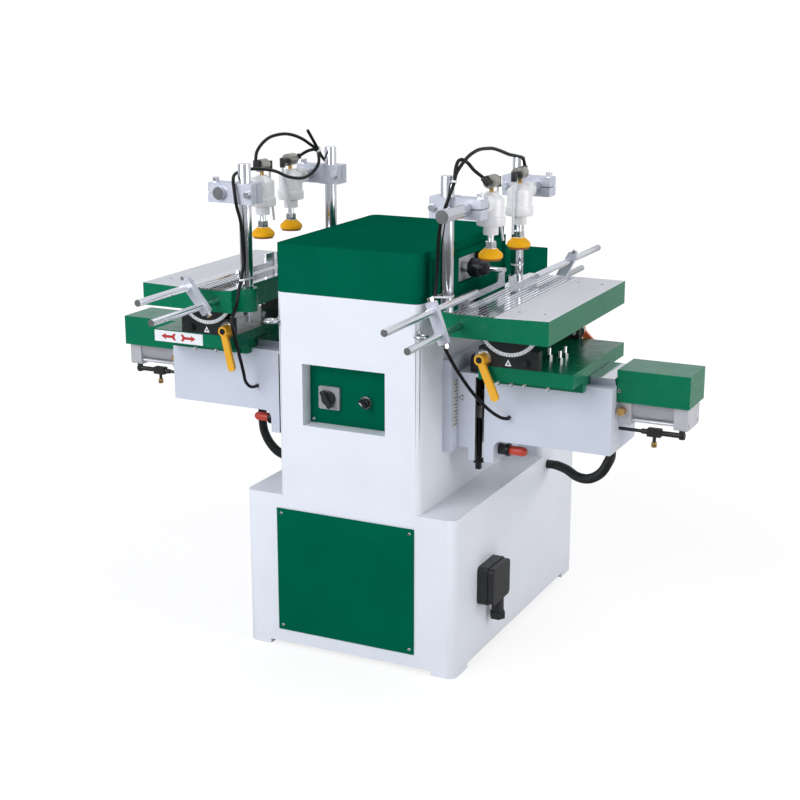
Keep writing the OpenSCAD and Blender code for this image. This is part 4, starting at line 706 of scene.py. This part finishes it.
def strip_faces(n):
    """Faces of a drawn-out strip outline of n steps, cut into quads."""
    m = 2 * (n + 1)
    faces = []
    for k in range(n):
        a, b, c, d = k, k + 1, m - 2 - k, m - 1 - k
        faces += [(a, d, c, b), (m + a, m + b, m + c, m + d)]
    faces += [(i, (i + 1) % m, m + (i + 1) % m, m + i) for i in range(m)]
    return faces


# Small pieces at each end; ON_FACE keeps a plate just off the face it lies on
ON_FACE = 0.05
SCALE_R, SCALE_ARC, SCALE_STEPS, SCALE_THICK = (68.5, 77.0), (-56, 54), 24, 0.45
TICKS, TICK_R, TICK_LONG, TICK_SHORT, TICK_HALF, TICK_STEP = 10, 76.6, 6.0, 4.0, 0.4, 5
BOLT_X, BOLT_Z, BOLT_R, BOLT_FACE_R, BOLT_PROUD = TILT_X + 42, 762, 8.2, 6.4, 8.0
LEVER_PROUD, WASHER_R, SOCKET_R, SOCKET_HEX_R = 25.2, 20.5, 7.6, 4.6
GIB_Z, GIB_R, GIB_SCREW_R, GIB_SCREW_OUT = 693.0, 5.6, 2.8, 6.0
GIB_SCREWS = ((320, 5.0), (354, 9.0), (385, 5.0), (443, 9.0))
COVER_SCREW, COVER_FRONT = (592, 692), -60.0


def tilt_scale(side):
    """The scale on the tilt segment with its ticks."""
    outline = ring_strip(TILT_X, TILT_Z, *SCALE_R, *SCALE_ARC, SCALE_STEPS)
    face = SADDLE_FRONT - ON_FACE
    verts, _ = prism(outline, face, face - SCALE_THICK, to_front)
    faces = flip(side, [tuple(reversed(f)) for f in strip_faces(SCALE_STEPS)])
    parts = [(station(side, verts), faces, "print_white")]
    centre = np.array([TILT_X, TILT_Z])
    for k in range(-TICKS, TICKS + 1):
        a = math.radians(TICK_STEP * k)
        reach = TICK_LONG if k % 2 == 0 else TICK_SHORT
        out, across = np.array([math.sin(a), -math.cos(a)]), np.array([math.cos(a), math.sin(a)])
        quad = [tuple(centre + r * out + s * TICK_HALF * across)
                for r, s in ((TICK_R - reach, -1), (TICK_R, -1), (TICK_R, 1), (TICK_R - reach, 1))]
        parts.append((*front_plate(side, quad, SADDLE_FRONT - SCALE_THICK, 0.2), "print_black"))
    group(side + "_tilt_scale", parts, side + "_table", smooth=False)


def tilt_pointer(side):
    """The pointer below the scale and the hexagon head beside it."""
    mark = [(TILT_X - 8, 752), (TILT_X + 8, 752), (TILT_X, 767)]
    inner = [(TILT_X - 3.4, 755.2), (TILT_X + 3.4, 755.2), (TILT_X, 761)]
    parts = [(*front_plate(side, mark, SADDLE_FRONT - ON_FACE, 0.6), "print_white"),
             (*front_plate(side, inner, SADDLE_FRONT - 0.5, 0.3), "print_black")]
    group(side + "_tilt_pointer", parts, side + "_saddle", smooth=False)
    face = SADDLE_FRONT - BOLT_PROUD
    parts = [(*front_plate(side, hexagon(BOLT_X, BOLT_Z, BOLT_R, 20), face - ON_FACE, 2.0), "dark_steel"),
             (*front_plate(side, disc(BOLT_X, BOLT_Z, BOLT_FACE_R), face - 1.9, 0.5), "black")]
    group(side + "_tilt_bolt_head", parts, side + "_saddle")


def lever_parts(side):
    """The wide washer behind the front lever's hub and the socket in its face."""
    lever = side + "_lock_lever"
    washer = front_plate(side, disc(PIVOT_X, PIVOT_Z, WASHER_R, 40), SADDLE_FRONT - 0.4, 3.0)
    group(side + "_lever_washer", [(*washer, "steel")], lever)
    face = SADDLE_FRONT - LEVER_PROUD
    rim = front_plate(side, disc(PIVOT_X, PIVOT_Z, SOCKET_R), face, 0.6)
    key = front_plate(side, hexagon(PIVOT_X, PIVOT_Z, SOCKET_HEX_R, 15), face - 0.5, 0.35)
    group(side + "_lever_socket", [(*rim, "black"), (*key, "dark_steel")], lever)


def gib_screws(side):
    """Nuts and screw ends in the saddle's skirt."""
    parts = []
    for x, reach in GIB_SCREWS:
        nut = front_plate(side, hexagon(x, GIB_Z, GIB_R, 30), SKIRT_FRONT - ON_FACE, reach)
        end = front_plate(side, disc(x, GIB_Z, GIB_SCREW_R), SKIRT_FRONT - reach, GIB_SCREW_OUT)
        parts += [(*nut, "bright"), (*end, "satin")]
    group(side + "_gib_screws", parts, side + "_saddle")


def cover_screw(side):
    """The screw at the cylinder cover's inner end."""
    head = front_plate(side, disc(*COVER_SCREW, 4.2), COVER_FRONT - ON_FACE, 1.8, carried=False)
    slot = front_plate(side, disc(*COVER_SCREW, 2.2), COVER_FRONT - 1.7, 0.4, carried=False)
    group(side + "_cover_screw", [(*head, "steel"), (*slot, "dark_steel")], side + "_knee")


for side in SIDES:
    tilt_scale(side)
    tilt_pointer(side)
    lever_parts(side)
    gib_screws(side)
    cover_screw(side)

# Ruler beside the right knee and its pointer
RULER_Y, RULER_Z = (-266, -241.5), (572, 686)
RULER_TICKS, RULER_FIRST, RULER_STEP = 14, 577, 8
RULER_LONG, RULER_SHORT, RULER_TICK_END, RULER_TICK_HALF = 15, 9, -242.2, 1.2


def lift_ruler():
    parts = [(*side_plate(rect(*RULER_Y, *RULER_Z), WAY_X + ON_FACE, 0.7), "rule")]
    for k in range(RULER_TICKS):
        z = RULER_FIRST + RULER_STEP * k
        start = RULER_TICK_END - (RULER_LONG if k % 2 == 0 else RULER_SHORT)
        tick = rect(start, RULER_TICK_END, z - RULER_TICK_HALF, z + RULER_TICK_HALF)
        parts.append((*side_plate(tick, WAY_X + 0.7, 0.15), "print_black"))
    group("lift_ruler", parts, "cabinet", smooth=False)


def lift_pointer():
    mark = [(210, 640), (222, 632.5), (222, 647.5)]
    inner = [(213.2, 640), (220.6, 635.2), (220.6, 644.8)]
    parts = [(*front_plate("right", mark, ARM_V - ON_FACE, 0.5, carried=False), "print_black"),
             (*front_plate("right", inner, ARM_V - 0.5, 0.2, carried=False), "print_white")]
    group("lift_pointer", parts, "right_knee", smooth=False)


lift_ruler()
lift_pointer()

# White mark along the edge of the selector knob's grip
SELECTOR, KNOB_FRONT, GRIP_TURN = (34.0, 638.0), -392.4, 0.707
MARK_HALF_LEN, MARK_HALF_WIDE, MARK_BACK, MARK_ASIDE = 5, 0.9, 2.5, 2.2


def selector_mark():
    along, aside = np.array([GRIP_TURN, -GRIP_TURN]), np.array([-GRIP_TURN, -GRIP_TURN])
    middle = np.array(SELECTOR) - MARK_BACK * along + MARK_ASIDE * aside
    quad = [tuple(middle + a * MARK_HALF_LEN * along + b * MARK_HALF_WIDE * aside) for a, b in QUAD]
    plate = prism(quad, KNOB_FRONT - ON_FACE, KNOB_FRONT - 0.3, to_front)
    group("selector_mark", [(*plate, "print_white")], "selector_knob", smooth=False)


selector_mark()

# Feed plate with its two arrows on the left saddle
ARROW_HALF = [(0, 0), (14.5, 8.6), (12, 3.4), (31.5, 3.4), (36.5, 8.6), (43, 8.6), (38, 0)]
ARROW_TIPS, ARROW_Z = ((403, 1), (503, -1)), 730.5
ARROW_PLATE = (382, 523, 716.5, 744.5)


def arrow(x, z, way):
    """An arrow with its tip at x that points against way."""
    outline = ARROW_HALF + [(a, -b) for a, b in reversed(ARROW_HALF[1:-1])]
    points = [(x + way * a, z + b) for a, b in outline]
    return points if way < 0 else points[::-1]


def feed_arrows():
    plate = front_plate("left", rect(*ARROW_PLATE), SADDLE_FRONT - ON_FACE, 0.6)
    parts = [(*plate, "print_white")]
    for x, way in ARROW_TIPS:
        parts.append((*front_plate("left", arrow(x, ARROW_Z, way), SADDLE_FRONT - 0.6, 0.25), "print_red"))
    group("feed_arrows", parts, "left_saddle", smooth=False)


feed_arrows()

# Nylon ties round the posts and the tubes
LOWER_TIE_Z, REAR_TIE_Z = 905, 909.0
TIE_GAP, TIE_HALF, TIE_THICK = 0.6, 2.2, 1.2
TAIL_LEN, TAIL_RISE, TAIL_WAY = 16, 4, (0.5, 0.8)
TAIL_ROOT, TAIL_END = (0.6, 1.6), (0.4, 1.4)
BOX_FACES = [(0, 1, 2, 3), (7, 6, 5, 4), (0, 4, 5, 1), (1, 5, 6, 2), (2, 6, 7, 3), (3, 7, 4, 0)]


def arc(centre, r, u, w, start, turn, steps):
    """Points of an arc in the plane of u and w."""
    angles = [start + turn * k / steps for k in range(steps + 1)]
    return [centre + r * (math.cos(a) * u + math.sin(a) * w) for a in angles]


def lower_tie(side):
    """A flat band round the front post and the tube that passes it, with its tail."""
    z = LOWER_TIE_Z
    main = MAIN_PATH[side]
    post = np.array(station(side, [(POST_X, -POST_V, z)])[0][:2])
    off = np.abs(main[:, 2] - z) + np.linalg.norm(main[:, :2] - post, axis=1)
    near = main[np.argmin(off)][:2]
    gap = np.linalg.norm(near - post)
    u = (near - post) / gap
    w = np.array([-u[1], u[0]])
    r0, r1 = POST_R + TIE_GAP, TUBE_D / 2 + TIE_GAP
    lean = math.asin((r0 - r1) / gap)
    loop = arc(post, r0, u, w, math.pi / 2 - lean, math.pi + 2 * lean, 18)
    loop = np.array(loop + arc(near, r1, u, w, lean - math.pi / 2, math.pi - 2 * lean, 8))
    middle = loop.mean(axis=0)
    verts, faces = [], []
    for q in loop:
        out = (q - middle) / np.linalg.norm(q - middle)
        for d, h in ((0, -TIE_HALF), (TIE_THICK, -TIE_HALF), (TIE_THICK, TIE_HALF), (0, TIE_HALF)):
            verts.append((*(q + out * d), z + h))
    m = len(loop)
    for i in range(m):
        j = (i + 1) % m
        for k in range(4):
            n = (k + 1) % 4
            faces.append((4 * i + k, 4 * i + n, 4 * j + n, 4 * j + k))
    root = near + u * (r1 + 1.0)
    end = root + TAIL_LEN * (TAIL_WAY[0] * u + TAIL_WAY[1] * w)
    tail = [(*(root + s * w * TAIL_ROOT[0]), z + h * TAIL_ROOT[1]) for s, h in QUAD]
    tail += [(*(end + s * w * TAIL_END[0]), z + TAIL_RISE + h * TAIL_END[1]) for s, h in QUAD]
    parts = [(verts, faces, "tie"), (tail, BOX_FACES, "tie")]
    group(side + "_lower_tie", parts, side + "_table")


def band(side, name, middle, along, r, wide):
    """A short band of radius r about the line through a point of the table's frame."""
    q = np.array(station(side, [middle, tuple(np.array(middle) + along)]))
    u = (q[1] - q[0]) / np.linalg.norm(q[1] - q[0])
    verts, faces = sweep([q[0] - u * wide / 2, q[0] + u * wide / 2], [r, r], 24)
    piece(name, verts, faces, ["tie"], side + "_table")


for side in SIDES:
    lower_tie(side)
band("right", "right_upper_tie", (TABLE_X + 8, -222, TABLE_Z + 281), (0, -4, -16), 7.0, 2 * TIE_HALF)
band("right", "right_rear_tie", (POST_X, POST_V, REAR_TIE_Z), (0, 0, 1), POST_R + 1, 2 * TIE_HALF)
band("left", "left_bundle_tie", (TABLE_X - 2, 164, TABLE_Z + 289), (-1, -58, 46), 8.0, 5.0)

# Camera, at the photograph's view, in metres
EYE, TARGET = (1.6279, -3.4832, 1.5872), (-0.04702, -0.02255, 0.55009)
LENS, SENSOR, VIEW_END = 70.30, 36.0, 60


def aim(o, where, to):
    o.location = where
    o.rotation_euler = (Vector(to) - Vector(where)).to_track_quat("-Z", "Y").to_euler()
    bpy.context.scene.collection.objects.link(o)


cam = bpy.data.cameras.new("camera")
cam.lens, cam.sensor_width, cam.clip_end = LENS, SENSOR, VIEW_END
eye = bpy.data.objects.new("camera", cam)
aim(eye, EYE, TARGET)
bpy.context.scene.camera = eye

# Floor, seen as white paper that keeps the object's shadow
FLOOR_HALF = 9000
PAPER_TONE, PAPER_WHITE, PAPER_ROUGH = (0.93, 0.97), 1.06, 0.9
SHEEN_DEPTH, SHEEN = (-1.2, 1.2), (0.15, 0.6)
CLEAN_FROM, CLEAN_SHARE = (0.9, 2.2), (0.75, 1.0)


def mix_shaders(tree, share, first, second):
    mixed = add(tree, "ShaderNodeMixShader")
    tree.links.new(share, mixed.inputs["Fac"])
    tree.links.new(first, mixed.inputs[1])
    tree.links.new(second, mixed.inputs[2])
    return mixed.outputs["Shader"]


def studio_paper():
    """Pale paper; the camera sees it nearly white, and mirrors see a soft sheen from it."""
    material, tree, shader = new_material("studio_paper")
    fleck = remap(tree, noise(tree, 3.0, 2), NOISE_BAND, PAPER_TONE)
    tint = add(tree, "ShaderNodeCombineColor")
    for channel in ("Red", "Green", "Blue"):
        tree.links.new(fleck, tint.inputs[channel])
    tree.links.new(tint.outputs["Color"], shader.inputs["Base Color"])
    shader.inputs["Roughness"].default_value = PAPER_ROUGH
    seen = add(tree, "ShaderNodeLightPath")
    white = add(tree, "ShaderNodeEmission", {"Color": (1, 1, 1, 1), "Strength": PAPER_WHITE})
    depth = add(tree, "ShaderNodeSeparateXYZ")
    tree.links.new(object_coords(tree), depth.inputs["Vector"])
    sheen = add(tree, "ShaderNodeEmission", {"Color": (1, 1, 1, 1)})
    tree.links.new(remap(tree, depth.outputs["Y"], SHEEN_DEPTH, SHEEN), sheen.inputs["Strength"])
    mirrored = mix_shaders(tree, seen.outputs["Is Glossy Ray"], shader.outputs["BSDF"],
                           sheen.outputs["Emission"])
    away = add(tree, "ShaderNodeVectorMath", operation="LENGTH")
    tree.links.new(object_coords(tree), away.inputs[0])
    share = add(tree, "ShaderNodeMath", operation="MULTIPLY")
    tree.links.new(seen.outputs["Is Camera Ray"], share.inputs[0])
    tree.links.new(remap(tree, away.outputs["Value"], CLEAN_FROM, CLEAN_SHARE), share.inputs[1])
    paper = mix_shaders(tree, share.outputs["Value"], mirrored, white.outputs["Emission"])
    tree.links.new(paper, tree.nodes["Material Output"].inputs["Surface"])
    return material


floor_corners = [(a * FLOOR_HALF, b * FLOOR_HALF, 0) for a, b in QUAD]
floor = piece("floor", floor_corners, [(0, 1, 2, 3)], ["print_white"], smooth=False)
floor.data.materials[0] = studio_paper()

# Soft studio light: a world that is white to the camera, brighter at the back, and three area lamps
ROOM_FRONT, ROOM_BACK = (0.27, 0.285, 0.33, 1), (0.80, 0.82, 0.86, 1)
ROOM_TURN = (-0.6, 0.8)
GLOSS, GLOSS_SHARE = (0.75, 0.77, 0.81, 1), 0.6


def studio_world():
    world = bpy.data.worlds.new("studio")
    bpy.context.scene.world = world
    world.use_nodes = True
    sky = world.node_tree
    background = sky.nodes["Background"]
    light_path = add(sky, "ShaderNodeLightPath")
    way = add(sky, "ShaderNodeSeparateXYZ")
    coords = add(sky, "ShaderNodeTexCoord")
    sky.links.new(coords.outputs["Generated"], way.inputs["Vector"])
    room = add(sky, "ShaderNodeMix", {"A": ROOM_FRONT, "B": ROOM_BACK}, data_type="RGBA")
    sky.links.new(remap(sky, way.outputs["Y"], ROOM_TURN, (0, 1)), room.inputs["Factor"])
    soft = add(sky, "ShaderNodeMath", {1: GLOSS_SHARE}, operation="MULTIPLY")
    sky.links.new(light_path.outputs["Is Glossy Ray"], soft.inputs[0])
    gloss = add(sky, "ShaderNodeMix", {"B": GLOSS}, data_type="RGBA")
    sky.links.new(soft.outputs["Value"], gloss.inputs["Factor"])
    sky.links.new(room.outputs["Result"], gloss.inputs["A"])
    glow = add(sky, "ShaderNodeMix", {"B": (1, 1, 1, 1)}, data_type="RGBA")
    sky.links.new(light_path.outputs["Is Camera Ray"], glow.inputs["Factor"])
    sky.links.new(gloss.outputs["Result"], glow.inputs["A"])
    sky.links.new(glow.outputs["Result"], background.inputs["Color"])
    background.inputs["Strength"].default_value = 1.0


def area(name, where, to, size, watts, color=(1, 1, 1)):
    lamp = bpy.data.lights.new(name, "AREA")
    lamp.size, lamp.energy, lamp.color = size, watts, color
    aim(bpy.data.objects.new(name, lamp), where, to)


studio_world()
area("key", (-1.2, -3.6, 2.6), (0, 0, 0.7), 2.4, 105, (0.95, 0.97, 1.0))
area("side", (3.8, -0.4, 1.8), (0, 0, 0.6), 2.0, 46, (1.0, 0.98, 0.95))
area("top", (0.2, 0.4, 4.2), (0, 0, 0.8), 2.6, 14)

bpy.context.scene.view_settings.view_transform = "Standard"
